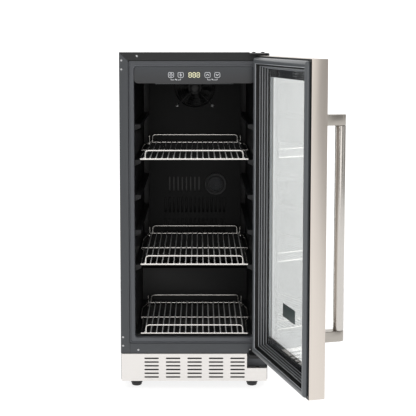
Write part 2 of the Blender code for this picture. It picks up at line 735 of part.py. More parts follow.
def vent_outlines():
    """Three rows of upright slots: two full rows under a short one."""
    first = -(VENT_FULL_ROW - 1) / 2 * VENT_PITCH
    outlines = []
    for row in range(3):
        low = OPEN_LOW + VENT_LOWEST + row * VENT_ROW_PITCH
        short = row == 2
        for n in range(VENT_SHORT_ROW if short else VENT_FULL_ROW):
            middle = first + (n + short) * VENT_PITCH
            outlines.append(rounded(middle - VENT_WIDTH / 2, middle + VENT_WIDTH / 2, low,
                                    low + VENT_LENGTH, VENT_WIDTH / 2, 2))
    return outlines


def cap_height():
    """The middle of the highest row of vents."""
    return OPEN_LOW + VENT_LOWEST + 2 * VENT_ROW_PITCH + VENT_LENGTH / 2


def make_duct_panel():
    """The panel in front of the evaporator, with a round opening for the fan."""
    half = DUCT_WIDTH / 2
    outline = rounded(-half, half, DUCT_LOW, DUCT_HIGH, 0.008)
    panel = add_part("duct_panel", prisms("duct_panel", [outline], DUCT_FRONT, DUCT_BACK), BLACK_PLASTIC)
    cut_through(panel, [circle(0, FAN_Z, FAN_BORE / 2), *vent_outlines()], DUCT_FRONT, DUCT_BACK)


def make_filter_cap():
    """A round cap on the duct panel, with a sunk middle."""
    at = home("filter_cap_axis", BASE, (CAP_SIDE, DUCT_FRONT - GAP, cap_height()))
    mesh = rods("filter_cap", [(0, -CAP_THICK / 2, 0)], CAP_RADIUS, CAP_THICK, (0, 1, 0))
    cap = add_part("filter_cap", mesh, BLACK_PLASTIC, at)
    cut(cap, rods("sunk_middle", [(0, -CAP_THICK, 0)], CAP_MESH_RADIUS, CAP_THICK / 2, (0, 1, 0)))
    smooth(cap)


def make_fan_guard():
    """Flat concentric rings on four spokes, which end in ears at the fan's screw holes."""
    far = DUCT_FRONT - GAP
    near = far - GUARD_RING
    outlines = [circle(0, FAN_Z, GUARD_HUB)]
    for n in range(GUARD_RINGS):
        radius = FAN_SIZE / 2 - n * GUARD_RING_PITCH
        outlines += [circle(0, FAN_Z, radius), circle(0, FAN_Z, radius - GUARD_RING)]
    mesh = front_plate("fan_guard", outlines, near, far)
    guard = add_part("fan_guard", mesh, BLACK_STEEL)
    join(guard, spoke_mesh(far))
    smooth(guard)


def spoke_mesh(far):
    """Four spokes on the diagonals, clear of each other at the middle."""
    reach = FAN_HOLES / math.sqrt(2) + GUARD_SPOKE
    start = GUARD_HUB - GUARD_RING
    cage = bmesh.new()
    for n in range(4):
        turn = Matrix.Rotation((n + 0.5) * math.pi / 2, 4, "Y")
        place = Matrix.Translation((0, 0, FAN_Z)) @ turn @ Matrix.Translation(
            ((start + reach) / 2, far - GUARD_RING / 2, 0))
        size = Matrix.Diagonal((reach - start, GUARD_RING * 0.8, GUARD_SPOKE, 1.0))
        bmesh.ops.create_cube(cage, size=1.0, matrix=place @ size)
    return mesh_from("spokes", cage)


def fan_frame(name, size, bore, thick, at):
    """A square fan housing with a round bore and a motor seat on three struts. Its axis is Y."""
    half = size / 2
    part = add_part(name, prisms(name, [rounded(-half, half, -half, half, FAN_CORNER)], 0, thick),
                    BLACK_PLASTIC, at)
    cut_through(part, [circle(0, 0, bore / 2)], 0, thick)
    seat = bore * FAN_SEAT_SHARE
    level = thick - FAN_STRUT_THICK * 0.75
    struts = bmesh.new()
    for n in range(3):
        turn = Matrix.Rotation(n * 2 * math.pi / 3, 4, "Y")
        start, end = seat * 0.8, (bore + size) / 4
        place = turn @ Matrix.Translation(((start + end) / 2, level, 0))
        bar = Matrix.Diagonal((end - start, FAN_STRUT_THICK, FAN_STRUT, 1))
        bmesh.ops.create_cube(struts, size=1.0, matrix=place @ bar)
    join(part, mesh_from("struts", struts))
    join(part, rods("motor_seat", [(0, level, 0)], seat, FAN_STRUT_THICK * 1.4, (0, 1, 0), SMALL_ROUND))


def fan_rotor(name, bore, thick, blades, at):
    """A hub with pitched blades. Its axis is Y, and it sits in front of the motor seat."""
    hub = bore * FAN_HUB_SHARE
    length = thick * 2 / 3
    middle = FAN_TIP_GAP / 3 + length / 2
    part = add_part(name, rods(name, [(0, middle, 0)], hub, length, (0, 1, 0), SMALL_ROUND),
                    BLACK_PLASTIC, at)
    cage = bmesh.new()
    start, end = hub * 0.75, bore / 2 - FAN_TIP_GAP
    for n in range(blades):
        place = (Matrix.Rotation(n * 2 * math.pi / blades, 4, "Y")
                 @ Matrix.Translation(((start + end) / 2, middle, 0))
                 @ Matrix.Rotation(math.radians(BLADE_TURN), 4, "X"))
        bmesh.ops.create_cube(cage, size=1.0,
                              matrix=place @ Matrix.Diagonal((end - start, FAN_BLADE, length, 1)))
    join(part, mesh_from("blades", cage))


def make_evaporator_fan():
    """The fan behind the duct panel that moves air over the evaporator."""
    fixed = home("evaporator_fan_seat", BASE, (0, DUCT_BACK + GAP, FAN_Z))
    spin = home("evaporator_fan_axis", BASE, (0, DUCT_BACK + GAP, FAN_Z))
    fan_frame("evaporator_fan_frame", FAN_SIZE, FAN_BORE, FAN_THICK, fixed)
    fan_rotor("evaporator_fan", FAN_BORE, FAN_THICK, 7, spin)


def make_evaporator():
    """A finned block behind the duct panel, below the fan."""
    near, far = DUCT_BACK + FIN_CLEAR, LINER_DEPTH - FIN_CLEAR
    high = FAN_Z - FAN_SIZE / 2 - EVAPORATOR_DROP
    low = max(DUCT_LOW + EVAPORATOR_DROP, high - EVAPORATOR_HEIGHT)
    half = EVAPORATOR_WIDTH / 2
    block = boxes("evaporator", [((-half, near + FIN_REACH, low), (half, far - FIN_REACH, high))])
    core = add_part("evaporator", block, ALUMINIUM)
    outermost = half - FIN_REACH
    pitch = 2 * outermost / (FIN_COUNT - 1)
    middles = [-outermost + n * pitch for n in range(FIN_COUNT)]
    fins = [((x - FIN_THICK / 2, near, low + FIN_REACH), (x + FIN_THICK / 2, far, high - FIN_REACH))
            for x in middles]
    join(core, boxes("fins", fins))


def make_control_panel():
    """The housing across the top of the opening, with a window for the display."""
    side = OPEN_X - GAP
    near, far = PANEL_SET_BACK, PANEL_SET_BACK + PANEL_DEPTH
    low, high = PANEL_LOW, OPEN_HIGH - GAP
    mesh = front_plate("control_panel", [rounded(-side, side, low, high, OPENING_RADIUS)], near, far)
    panel = add_part("control_panel", mesh, DARK_PANEL)
    wall = PANEL_WALL
    cut(panel, boxes("hollow", [((-side + wall, near + wall, low + wall),
                                 (side - wall, far + wall, high - wall))]))
    window = window_span(GAP)
    cut(panel, boxes("window_space", [((window[0][0], near - wall, window[0][2]),
                                       (window[1][0], near + 2 * wall, window[1][2]))]))


def window_span(grow=0.0):
    """The display window's lowest and highest corner."""
    middle = PANEL_LOW + PANEL_HEIGHT * WINDOW_LEVEL
    near = PANEL_SET_BACK + GAP
    return ((-WINDOW_WIDTH / 2 - grow, near, middle - WINDOW_HEIGHT / 2 - grow),
            (WINDOW_WIDTH / 2 + grow, near + WINDOW_THICK, middle + WINDOW_HEIGHT / 2 + grow))


def make_electronics():
    """The display window, the board behind it and the lamp under the panel."""
    add_part("display_window", boxes("display_window", [window_span()]), GLASS)
    near = PANEL_SET_BACK + BOARD_MARGIN
    side = BOARD_WIDTH / 2
    board = ((-side, near, PANEL_LOW + BOARD_MARGIN), (side, near + BOARD_THICK, OPEN_HIGH - BOARD_MARGIN))
    add_part("control_board", boxes("control_board", [board]), CIRCUIT)
    near = PANEL_SET_BACK + PANEL_DEPTH * 0.4
    side, high = LAMP_WIDTH / 2, PANEL_LOW - GAP
    lamp = ((-side, near, high - LAMP_THICK), (side, near + LAMP_DEPTH, high))
    add_part("light_strip", boxes("light_strip", [lamp]), LAMP_WHITE)


# ---------------------------------------------------------------- shelves


def make_shelf(name, level, depth):
    """A welded wire shelf on a pair of guides, with a raised guard at its front and its back."""
    at = home(f"shelf_{name}_slide", BASE, (0, SHELF_FRONT, rib_top(level) + GAP))
    grid = add_part(f"shelf_{name}_grid", cross_wires(name, depth), WHITE_WIRE, at)
    join(grid, long_wires(name, depth))
    deck = CROSS_WIRE - WIRE_LAP + WIRE
    make_guard(f"shelf_{name}_front_guard", FRONT_WIRE / 2, deck, at)
    make_guard(f"shelf_{name}_rear_guard", depth - CROSS_WIRE / 2, deck, at)


def cross_wires(name, depth):
    """The front, middle and rear wires that run from side to side, in one mesh."""
    middle = depth / 2
    end, rest = SHELF_END_WIDTH / 2, SHELF_REST_WIDTH / 2
    return boxes(name, [
        ((-end, 0, 0), (end, FRONT_WIRE, CROSS_WIRE)),
        ((-rest, middle - CROSS_WIRE / 2, 0), (rest, middle + CROSS_WIRE / 2, CROSS_WIRE)),
        ((-end, depth - CROSS_WIRE, 0), (end, depth, CROSS_WIRE)),
    ])


def long_wires(name, depth):
    """The wires that run from front to back, welded on top of the cross wires."""
    low = CROSS_WIRE - WIRE_LAP
    spans = []
    for n in range(WIRE_COUNT):
        x = (n - (WIRE_COUNT - 1) / 2) * WIRE_PITCH
        spans.append(((x - WIRE / 2, GAP, low), (x + WIRE / 2, depth - GAP, low + WIRE)))
    return boxes(name, spans)


def make_guard(name, y, deck, at):
    """A wire loop that keeps bottles on the shelf."""
    side = GUARD_WIDTH / 2
    top = deck + GUARD_HEIGHT - GUARD_WIRE / 2
    corner = [(math.sin(a), 1 - math.cos(a)) for a in (n * math.pi / 6 for n in range(4))]
    left = [(-side + GUARD_CORNER * v, y, top - GUARD_CORNER + GUARD_CORNER * u) for u, v in corner]
    right = [(-x, y, z) for x, y, z in reversed(left)]
    path = [(-side, y, deck + GAP), *left, *right, (side, y, deck + GAP)]
    add_part(name, tube(name, path, GUARD_WIRE / 2), WHITE_WIRE, at)


# ---------------------------------------------------------------- machine bay


def make_compressor():
    """A domed, welded steel can."""
    x = HALF_WIDTH - COMPRESSOR_RADIUS - COMPRESSOR_SIDE
    at = home("compressor_seat", BASE, (x, BAY_MIDDLE, BAY_FLOOR + GAP))
    high, radius = COMPRESSOR_HEIGHT, COMPRESSOR_RADIUS
    dome = radius * COMPRESSOR_DOME
    arc = [(radius * math.sin(a), high - dome + dome * math.cos(a))
           for a in (n * math.pi / 12 for n in range(7))]
    foot = [(radius, COMPRESSOR_RISE * 2), (COMPRESSOR_SEAT, COMPRESSOR_RISE), (COMPRESSOR_SEAT, 0), (0, 0)]
    can = add_part("compressor", profile("compressor", [(0, high), *arc[1:], *foot]), BLACK_STEEL, at)
    turned(can)
    smooth(can)


def make_condenser():
    """A serpentine tube beside its fan."""
    x = -HALF_WIDTH + COIL_SIDE
    half = (BACK_INNER - BAY_BACK) / 2 - 2 * COIL_TUBE
    low, high = BAY_FLOOR + COIL_MARGIN, BAY_TOP - COIL_MARGIN
    pitch = 2 * half / (COIL_RUNS - 1)
    points = []
    for run in range(COIL_RUNS):
        y = BAY_MIDDLE - half + run * pitch
        up = run % 2 == 0
        ends = (low, high) if up else (high, low)
        points.append((x, y, ends[0]))
        points.append((x, y, ends[1]))
        if run < COIL_RUNS - 1:
            lift = pitch / 2 if up else -pitch / 2
            points += [(x, y + pitch / 2 * (1 - math.cos(a)), ends[1] + lift * math.sin(a))
                       for a in (math.pi / 4, math.pi / 2, 3 * math.pi / 4)]
    add_part("condenser_coil", tube("condenser_coil", points, COIL_TUBE / 2), BLACK_STEEL)


def make_condenser_fan():
    """The fan that cools the condenser. It blows along X."""
    place = (COOLER_FAN_SIDE, BAY_MIDDLE, BAY_FLOOR + COOLER_FAN_SIZE / 2 + COOLER_FAN_RISE)
    fixed = home("condenser_fan_seat", BASE, place, 90)
    spin = home("condenser_fan_axis", BASE, place, 90)
    fan_frame("condenser_fan_frame", COOLER_FAN_SIZE, COOLER_FAN_BORE, COOLER_FAN_THICK, fixed)
    fan_rotor("condenser_fan", COOLER_FAN_BORE, COOLER_FAN_THICK, 5, spin)


def make_drain():
    """The tube that takes melt water down to the tray over the machine bay's floor."""
    base = BAY_FLOOR + TRAY_RISE
    rim = base + TRAY_HEIGHT
    rings = [circle(DRAIN_X, DRAIN_Y, DRAIN_RADIUS, SMALL_ROUND),
             circle(DRAIN_X, DRAIN_Y, DRAIN_RADIUS - DRAIN_WALL, SMALL_ROUND)]
    add_part("drain_tube", plate("drain_tube", rings, rim + PLASTIC, HUMP_TOP, FACING_UP), GREY_PLASTIC)
    near, far = BAY_BACK + 4 * PLASTIC, BACK_INNER - 4 * PLASTIC
    block = boxes("tray", [((TRAY_LEFT, near, base), (TRAY_RIGHT, far, rim))])
    tray = add_part("evaporation_tray", block, GREY_PLASTIC)
    cut(tray, boxes("inside", [((TRAY_LEFT + PLASTIC, near + PLASTIC, base + PLASTIC),
                                (TRAY_RIGHT - PLASTIC, far - PLASTIC, rim + PLASTIC))]))


def make_rear_cover():
    """The louvred cover of the machine bay, with the mains cord's gland."""
    low, high = FLOOR_CLEARANCE + COVER_RISE, BAY_TOP - GAP - SHEET
    x, z = -HALF_WIDTH + GLAND_SIDE, low + GLAND_RISE
    near, far = CABINET_DEPTH - SHEET, CABINET_DEPTH
    sheet = prisms("rear_cover", [rounded(-INNER_X, INNER_X, low, high, FRAME_CORNER)], near, far)
    cover = add_part("rear_cover", sheet, GREY_PAINT)
    cut_through(cover, [circle(x, z, GLAND_NECK + GAP, SMALL_ROUND), *louvres(low)], near, far)
    make_gland(x, z)


def louvres(low):
    """The outlines of the rear cover's air slots."""
    outlines = []
    for column in range(LOUVRE_COLUMNS):
        left = LOUVRE_LEFT + column * LOUVRE_COLUMN_PITCH
        for row in range(LOUVRE_ROWS):
            level = low + LOUVRE_LOWEST + row * LOUVRE_ROW_PITCH
            outlines.append(rounded(left, left + LOUVRE_LENGTH, level, level + LOUVRE_HEIGHT, 0))
    return outlines


def make_gland(x, z):
    """The ring that the mains cord passes through, with its neck in the cover's hole."""
    at = home("cord_gland_seat", BASE, (x, CABINET_DEPTH + GAP, z))
    flange = rods("cord_gland", [(0, GLAND_NECK / 2, 0)], GLAND_RADIUS, GLAND_NECK, (0, 1, 0), SMALL_ROUND)
    gland = add_part("cord_gland", flange, BLACK_PLASTIC, at)
    join(gland, rods("neck", [(0, -0.001, 0)], GLAND_NECK, 1.5 * GLAND_NECK, (0, 1, 0), SMALL_ROUND))
    cut(gland, rods("cord_way", [(0, 0, 0)], GLAND_WAY, 5 * GLAND_NECK, (0, 1, 0), SMALL_ROUND))


# ---------------------------------------------------------------- door, in the frame of its hinge axis


def door_ring(name, outer_inset, inner_inset, near, far):
    """A rectangular ring of the door, given by how far its edges lie from the door's edges."""
    spans = [rounded(DOOR_LEFT + inset, DOOR_RIGHT - inset, DOOR_LOW + inset, DOOR_TOP - inset, 0)
             for inset in (outer_inset, inner_inset)]
    return front_plate(name, spans, near, far)


def door_slab(name, inset, near, far):
    """A flat rectangle as large as the door less an inset."""
    return boxes(name, [((DOOR_LEFT + inset, near, DOOR_LOW + inset),
                         (DOOR_RIGHT - inset, far, DOOR_TOP - inset))])


def bush_rods(name, radius, length):
    """Cylinders on the hinge axis at the door's upper and lower edge."""
    return rods(name, [(0, 0, DOOR_LOW), (0, 0, DOOR_TOP)], radius, length)


def make_door_shell():
    """The stainless outer skin, the foam ring inside it and the plastic frame on its inner side."""
    skin = add_part("door_skin", door_slab("door_skin", 0, DOOR_OUTER, DOOR_INNER), STAINLESS, DOOR)
    cut(skin, door_slab("inside", DOOR_SKIN, DOOR_OUTER + DOOR_SKIN, DOOR_INNER + DOOR_SKIN))
    cut(skin, boxes("window", [((DOOR_LEFT + FRONT_BORDER, DOOR_OUTER - DOOR_SKIN, DOOR_LOW + FRONT_BORDER),
                                (DOOR_RIGHT - HINGE_BORDER, DOOR_INNER, DOOR_TOP - FRONT_BORDER))]))
    cut(skin, bush_rods("bush_holes", BUSH_RADIUS + GAP, 2 * BUSH_LENGTH))
    edge = DOOR_SKIN + GAP
    core_far = DOOR_INNER - BEZEL_PLATE - GAP
    ring = door_ring("door_core", edge, GLASS_EDGE - GAP, OUTER_PANE, core_far)
    core = add_part("door_core", ring, FOAM, DOOR)
    cut(core, bush_rods("bush_holes", BUSH_RADIUS + GAP, 2 * (PIN_LENGTH + 2 * GAP)))
    plate_near = DOOR_INNER - BEZEL_PLATE
    ring = door_ring("door_inner_frame", edge, BEZEL_WIDTH, plate_near, DOOR_INNER)
    frame = add_part("door_inner_frame", ring, GREY_PAINT, DOOR)
    lip = door_ring("lip", BEZEL_WIDTH - BEZEL_LIP, BEZEL_WIDTH - GAP, INNER_PANE + GAP,
                    DOOR_INNER - BEZEL_PLATE / 2)
    join(frame, lip)


def make_glazing():
    """Two panes with a spacer between them."""
    outer_far = OUTER_PANE + GLASS_THICK
    inner_near = INNER_PANE - GLASS_THICK
    add_part("outer_glass", door_slab("outer_glass", GLASS_EDGE, OUTER_PANE, outer_far), GLASS, DOOR)
    add_part("inner_glass", door_slab("inner_glass", GLASS_EDGE, inner_near, INNER_PANE), GLASS, DOOR)
    spacer = door_ring("glazing_spacer", GLASS_EDGE + SPACER_INSET,
                       GLASS_EDGE + SPACER_INSET + SPACER_WIDTH, outer_far + GAP, inner_near - GAP)
    add_part("glazing_spacer", spacer, ALUMINIUM, DOOR)


def make_gasket():
    """The magnetic seal on the door's inner side."""
    near = DOOR_INNER + GAP
    inner = GASKET_INSET + GASKET_WIDTH
    mesh = door_ring("door_gasket", GASKET_INSET, inner, near, near + GASKET_THICK)
    add_part("door_gasket", mesh, RUBBER, DOOR)


def make_label():
    """A blank label stuck to the inner pane."""
    middle = (DOOR_LEFT + DOOR_RIGHT) / 2
    z = DOOR_LOW + LABEL_RISE
    outline = rounded(middle - LABEL_WIDTH / 2, middle + LABEL_WIDTH / 2, z - LABEL_HEIGHT / 2,
                      z + LABEL_HEIGHT / 2, LABEL_CORNER)
    mesh = front_plate("blank_label", [outline], INNER_PANE + GAP, INNER_PANE + GAP + LABEL_THICK)
    add_part("blank_label", mesh, LABEL_GREY, DOOR)


def make_handle():
    """An upright bar between two brackets."""
    radius = HANDLE_DIAMETER / 2
    length = HANDLE_SPAN - BRACKET_HEIGHT - 2 * GAP
    bar = add_part("handle_bar", rods("handle_bar", [(HANDLE_X, HANDLE_Y, HANDLE_Z)], radius, length),
                   STAINLESS, DOOR)
    smooth(bar)
    for name, side in (("upper", 1), ("lower", -1)):
        z = HANDLE_Z + side * HANDLE_SPAN / 2
        outline = bracket_outline(radius)
        mesh = plate("bracket", [outline], z - BRACKET_HEIGHT / 2, z + BRACKET_HEIGHT / 2, FACING_UP)
        bracket = add_part(f"handle_bracket_{name}", mesh, STAINLESS, DOOR)
        smooth(bracket)


def bracket_outline(radius):
    """A bracket seen from above: straight from the door's face, with a round end about the bar."""
    face = DOOR_OUTER - GAP
    arc = [(HANDLE_X + radius * math.cos(a), HANDLE_Y - radius * math.sin(a))
           for a in (n * math.pi / 10 for n in range(11))]
    return [(HANDLE_X + radius, face), *arc, (HANDLE_X - radius, face)]


def make_bushes():
    """The plastic bushes that turn on the hinge pins."""
    rings = [circle(0, 0, BUSH_RADIUS), circle(0, 0, PIN_RADIUS + PIN_CLEARANCE)]
    lower = plate("bush", rings, DOOR_LOW - BUSH_RISE, DOOR_LOW - BUSH_RISE + BUSH_LENGTH, FACING_UP)
    upper = plate("bush", rings, DOOR_TOP + BUSH_RISE - BUSH_LENGTH, DOOR_TOP + BUSH_RISE, FACING_UP)
    add_part("bush_lower", lower, GREY_PLASTIC, DOOR)
    add_part("bush_upper", upper, GREY_PLASTIC, DOOR)


# ---------------------------------------------------------------- hinges


def upper_screw_places():
    high = UPPER_PLATE_LOW + HINGE_PLATE
    y = FRAME_THICK + 0.022
    return [(HINGE_LEFT + 0.012, y, high), (HINGE_RIGHT - 0.012, y, high)]


def lower_screw_places():
    high = FOOT_PLATE_LOW + HINGE_PLATE
    y = LEDGE_DEPTH + 0.012
    return [(HINGE_LEFT + 0.012, y, high), (HINGE_RIGHT - 0.012, y, high)]


def make_upper_hinge():
    """A plate on the roof with a pin down into the door."""
    low, high = UPPER_PLATE_LOW, UPPER_PLATE_LOW + HINGE_PLATE
    back = FRAME_THICK + 0.045
    mesh = boxes("hinge_upper", [((HINGE_LEFT, -HINGE_PLATE_REACH, low), (HINGE_RIGHT, back, high))])
    hinge = add_part("hinge_upper", mesh, BLACK_STEEL)
    foot = boxes("foot", [((HINGE_LEFT, FRAME_THICK + 2 * GAP, ROOF + GAP),
                           (HINGE_RIGHT, back, low + HINGE_PLATE / 2))])
    join(hinge, foot)
    pin_low = DOOR_TOP - PIN_LENGTH
    join(hinge, rods("pin", [(HINGE_X, HINGE_Y, (pin_low + high - 0.001) / 2)], PIN_RADIUS,
                     high - 0.001 - pin_low))
    cut(hinge, rods("screw_holes", upper_screw_places(), SCREW_SHANK + GAP, 4 * SCREW_LENGTH,
                    sides=SMALL_ROUND))


def make_lower_hinge():
    """A bracket hooked under the front frame with a pin up into the door."""
    front, back = -HINGE_PLATE - GAP, LEDGE_DEPTH + 0.024
    high = LOWER_PLATE_HIGH
    leg = boxes("hinge_lower", [((HINGE_LEFT, front, FOOT_PLATE_LOW), (HINGE_RIGHT, -GAP, high))])
    hinge = add_part("hinge_lower", leg, BLACK_STEEL)
    arms = [((HINGE_LEFT, -HINGE_PLATE_REACH, high - HINGE_PLATE),
             (HINGE_RIGHT, -GAP - HINGE_PLATE / 2, high)),
            ((HINGE_LEFT, -GAP - HINGE_PLATE / 2, FOOT_PLATE_LOW),
             (HINGE_RIGHT, back, FOOT_PLATE_LOW + HINGE_PLATE))]
    join(hinge, boxes("arms", arms))
    pin_high = DOOR_LOW + PIN_LENGTH
    pin_low = high - HINGE_PLATE + 0.001
    join(hinge, rods("pin", [(HINGE_X, HINGE_Y, (pin_low + pin_high) / 2)], PIN_RADIUS,
                     pin_high - pin_low))
    cut(hinge, rods("screw_holes", lower_screw_places(), SCREW_SHANK + GAP, 2 * SCREW_LENGTH,
                    sides=SMALL_ROUND))


def make_screws():
    """Pan-head screws that hold the hinges."""
    room = UPPER_PLATE_LOW + HINGE_PLATE - ROOF - 2 * GAP
    sets = (("upper", upper_screw_places(), min(SCREW_LENGTH, room)),
            ("lower", lower_screw_places(), SCREW_LENGTH))
    for name, places, length in sets:
        for side, (x, y, z) in zip(("left", "right"), places):
            at = home(f"screw_{name}_{side}_seat", BASE, (x, y, z + GAP))
            points = [(0, 0.0024), (SCREW_HEAD * 0.7, 0.0022), (SCREW_HEAD, 0.0010), (SCREW_HEAD, 0),
                      (SCREW_SHANK, 0), (SCREW_SHANK, -length), (0, -length)]
            part = add_part(f"screw_{name}_{side}", profile("screw", points), ZINC_STEEL, at)
            turned(part, SMALL_ROUND)
            smooth(part)


# ---------------------------------------------------------------- assembly


def centre_on_floor():
    """Moves the assembly so that the origin is under the middle of its bounding box."""
    bpy.context.view_layer.update()
    graph = bpy.context.evaluated_depsgraph_get()
    corners = []
    for part in PARTS.objects:
        if part.type == "MESH":
            seen = part.evaluated_get(graph)
            corners += [seen.matrix_world @ Vector(corner) for corner in seen.bound_box]
    low = [min(corner[axis] for corner in corners) for axis in range(2)]
    high = [max(corner[axis] for corner in corners) for axis in range(2)]
    BASE.location = (-(low[0] + high[0]) / 2, -(low[1] + high[1]) / 2, 0)


def build():
    make_cabinet_shell()
    make_front_frame()
    make_breaker_strip()
    make_liner()
    make_foam()
    make_bay_ceiling()
    make_back_panel()
    make_base_pan()
    make_kick_plate()
    make_corner_block()
    make_feet()
    make_duct_panel()
    make_filter_cap()
    make_fan_guard()
    make_evaporator_fan()
    make_evaporator()
    make_control_panel()
    make_electronics()
    for name, level, depth in SHELVES:
        make_shelf(name, level, depth)
    make_compressor()
    make_condenser()
    make_condenser_fan()
    make_drain()
    make_rear_cover()
    make_door_shell()
    make_glazing()
    make_gasket()
    make_label()
    make_handle()
    make_bushes()
    make_upper_hinge()
    make_lower_hinge()
    make_screws()
    centre_on_floor()


build()
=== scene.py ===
# %% [markdown]
# # A drinks fridge with its door open
# The fixed frame holds the imported solids, and each one already rides on its body. The pieces made here
# take their places from those solids, so nothing has to be fitted by eye.

# %% Load the frame
import json
import math

import bmesh
import bpy
from mathutils import Matrix, Vector


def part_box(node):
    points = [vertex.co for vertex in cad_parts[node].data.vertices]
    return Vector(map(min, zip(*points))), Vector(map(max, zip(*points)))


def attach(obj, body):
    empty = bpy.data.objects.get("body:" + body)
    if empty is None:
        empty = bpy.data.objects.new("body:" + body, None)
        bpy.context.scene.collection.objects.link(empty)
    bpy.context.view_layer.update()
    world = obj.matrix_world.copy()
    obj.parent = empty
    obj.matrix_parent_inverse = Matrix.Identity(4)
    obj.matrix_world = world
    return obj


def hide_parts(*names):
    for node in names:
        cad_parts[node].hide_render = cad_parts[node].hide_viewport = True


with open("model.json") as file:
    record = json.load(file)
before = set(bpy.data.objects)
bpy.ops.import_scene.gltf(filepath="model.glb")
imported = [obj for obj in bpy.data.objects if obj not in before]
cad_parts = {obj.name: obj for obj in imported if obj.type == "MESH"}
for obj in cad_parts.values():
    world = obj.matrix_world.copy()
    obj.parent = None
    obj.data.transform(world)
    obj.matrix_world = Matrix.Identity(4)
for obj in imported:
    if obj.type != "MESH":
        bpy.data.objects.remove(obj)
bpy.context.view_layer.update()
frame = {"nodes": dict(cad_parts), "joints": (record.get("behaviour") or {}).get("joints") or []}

# %% [markdown]
# ## Where things are
# A fridge is measured from its front plane, its middle and the floor. Those three are read from the solids
# once. The door has a frame of its own: it is modelled closed, about its hinge, and then turned open.

# %% Middle, front plane and the door's frame
def span(node):
    """A solid's lowest and highest corner, as vectors."""
    low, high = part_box(node)
    return Vector(low), Vector(high)


frame_low, frame_high = span("front_frame")
MIDDLE = (frame_low.x + frame_high.x) / 2
FRONT = frame_low.y
hinge = next(joint for joint in frame["joints"] if joint["name"] == "door_hinge")
OPEN_ANGLE = math.radians(-hinge["range_deg"][0])
HINGE_SPOT = Vector((hinge["pos_m"][0], hinge["pos_m"][1], 0))
OPENED = Matrix.Translation(HINGE_SPOT) @ Matrix.Rotation(OPEN_ANGLE, 4, "Z")
CLOSED = OPENED.inverted()


def door_span(node):
    """A door solid's lowest and highest corner in the door's own closed frame."""
    corners = [CLOSED @ vertex.co for vertex in frame["nodes"][node].data.vertices]
    low = Vector(min(corner[axis] for corner in corners) for axis in range(3))
    high = Vector(max(corner[axis] for corner in corners) for axis in range(3))
    return low, high


print("middle", round(MIDDLE, 4), "front", round(FRONT, 4), "door open", round(math.degrees(OPEN_ANGLE), 1))

# %% [markdown]
# ## Shader maths as sums
# A pattern is easier to read as a sum than as a row of nodes. The small class below wraps a socket, and
# every sign adds one Math node. Any other node comes from one method that takes its type, the values or
# links of its sockets, and its settings.

# %% Shader helpers
class Wire:
    """A socket that can be added, subtracted and multiplied."""

    def __init__(self, finish, socket):
        self.finish = finish
        self.socket = socket

    def maths(self, operation, other):
        node = self.finish.node("ShaderNodeMath", {0: self, 1: other}, operation=operation)
        return Wire(self.finish, node.outputs[0])

    def __add__(self, other):
        return self.maths("ADD", other)

    __radd__ = __add__

    def __sub__(self, other):
        return self.maths("SUBTRACT", other)

    def __mul__(self, other):
        return self.maths("MULTIPLY", other)


class Finish:
    """A material with its Principled shader and a short way to add nodes to it."""

    def __init__(self, name, **plain):
        self.material = bpy.data.materials.new(name)
        self.material.use_nodes = True
        self.tree = self.material.node_tree
        self.shader = self.tree.nodes["Principled BSDF"]
        for socket, value in plain.items():
            self.shader.inputs[socket.replace("_", " ")].default_value = value

    def node(self, kind, sockets, **settings):
        made = self.tree.nodes.new(kind)
        for name, value in settings.items():
            setattr(made, name, value)
        for key, value in sockets.items():
            self.plug(made.inputs[key], value)
        return made

    def plug(self, socket, value):
        if isinstance(value, Wire):
            value = value.socket
        if isinstance(value, bpy.types.NodeSocket):
            self.tree.links.new(value, socket)
        else:
            socket.default_value = value

    def spot(self, scale=(1, 1, 1)):
        """Object coordinates, scaled."""
        where = self.node("ShaderNodeTexCoord", {}).outputs["Object"]
        return self.node("ShaderNodeMapping", {"Vector": where, "Scale": scale}).outputs[0]

    def noise(self, vector, scale, detail=3.0, rough=0.5):
        sockets = {"Vector": vector, "Scale": scale, "Detail": detail, "Roughness": rough}
        return Wire(self, self.node("ShaderNodeTexNoise", sockets).outputs["Fac"])

    def between(self, amount, low, high):
        """A number that runs from low to high as amount runs from 0 to 1."""
        return low + amount * (high - low)

    def blend(self, amount, first, second):
        """One colour, or the other."""
        node = self.node("ShaderNodeMix", {0: amount, 6: first, 7: second}, data_type="RGBA")
        return node.outputs[2]

    def feed(self, name, value):
        self.plug(self.shader.inputs[name], value)

    def relief(self, height, strength, distance):
        bump = self.node("ShaderNodeBump", {"Height": height, "Strength": strength, "Distance": distance})
        self.feed("Normal", bump.outputs[0])


def tone(red, green, blue):
    """A colour as a paint card gives it, from 0 to 255, in linear light."""
    def linear(value):
        value /= 255
        return value / 12.92 if value <= 0.04045 else ((value + 0.055) / 1.055) ** 2.4
    return (linear(red), linear(green), linear(blue), 1.0)


def shade(colour, share):
    """The same colour, darker."""
    return tuple(channel * share for channel in colour[:3]) + (1.0,)


# %% [markdown]
# ## Painted steel and moulded plastic
# The cabinet is powder-coated: a charcoal paint with a faint orange-peel skin, a little duller where it lies
# thick. The moulded parts are smoother, with the fine grain of an etched mould. Both come from noise on
# object coordinates, so the grain has the same size everywhere, and only the noise's height differs.

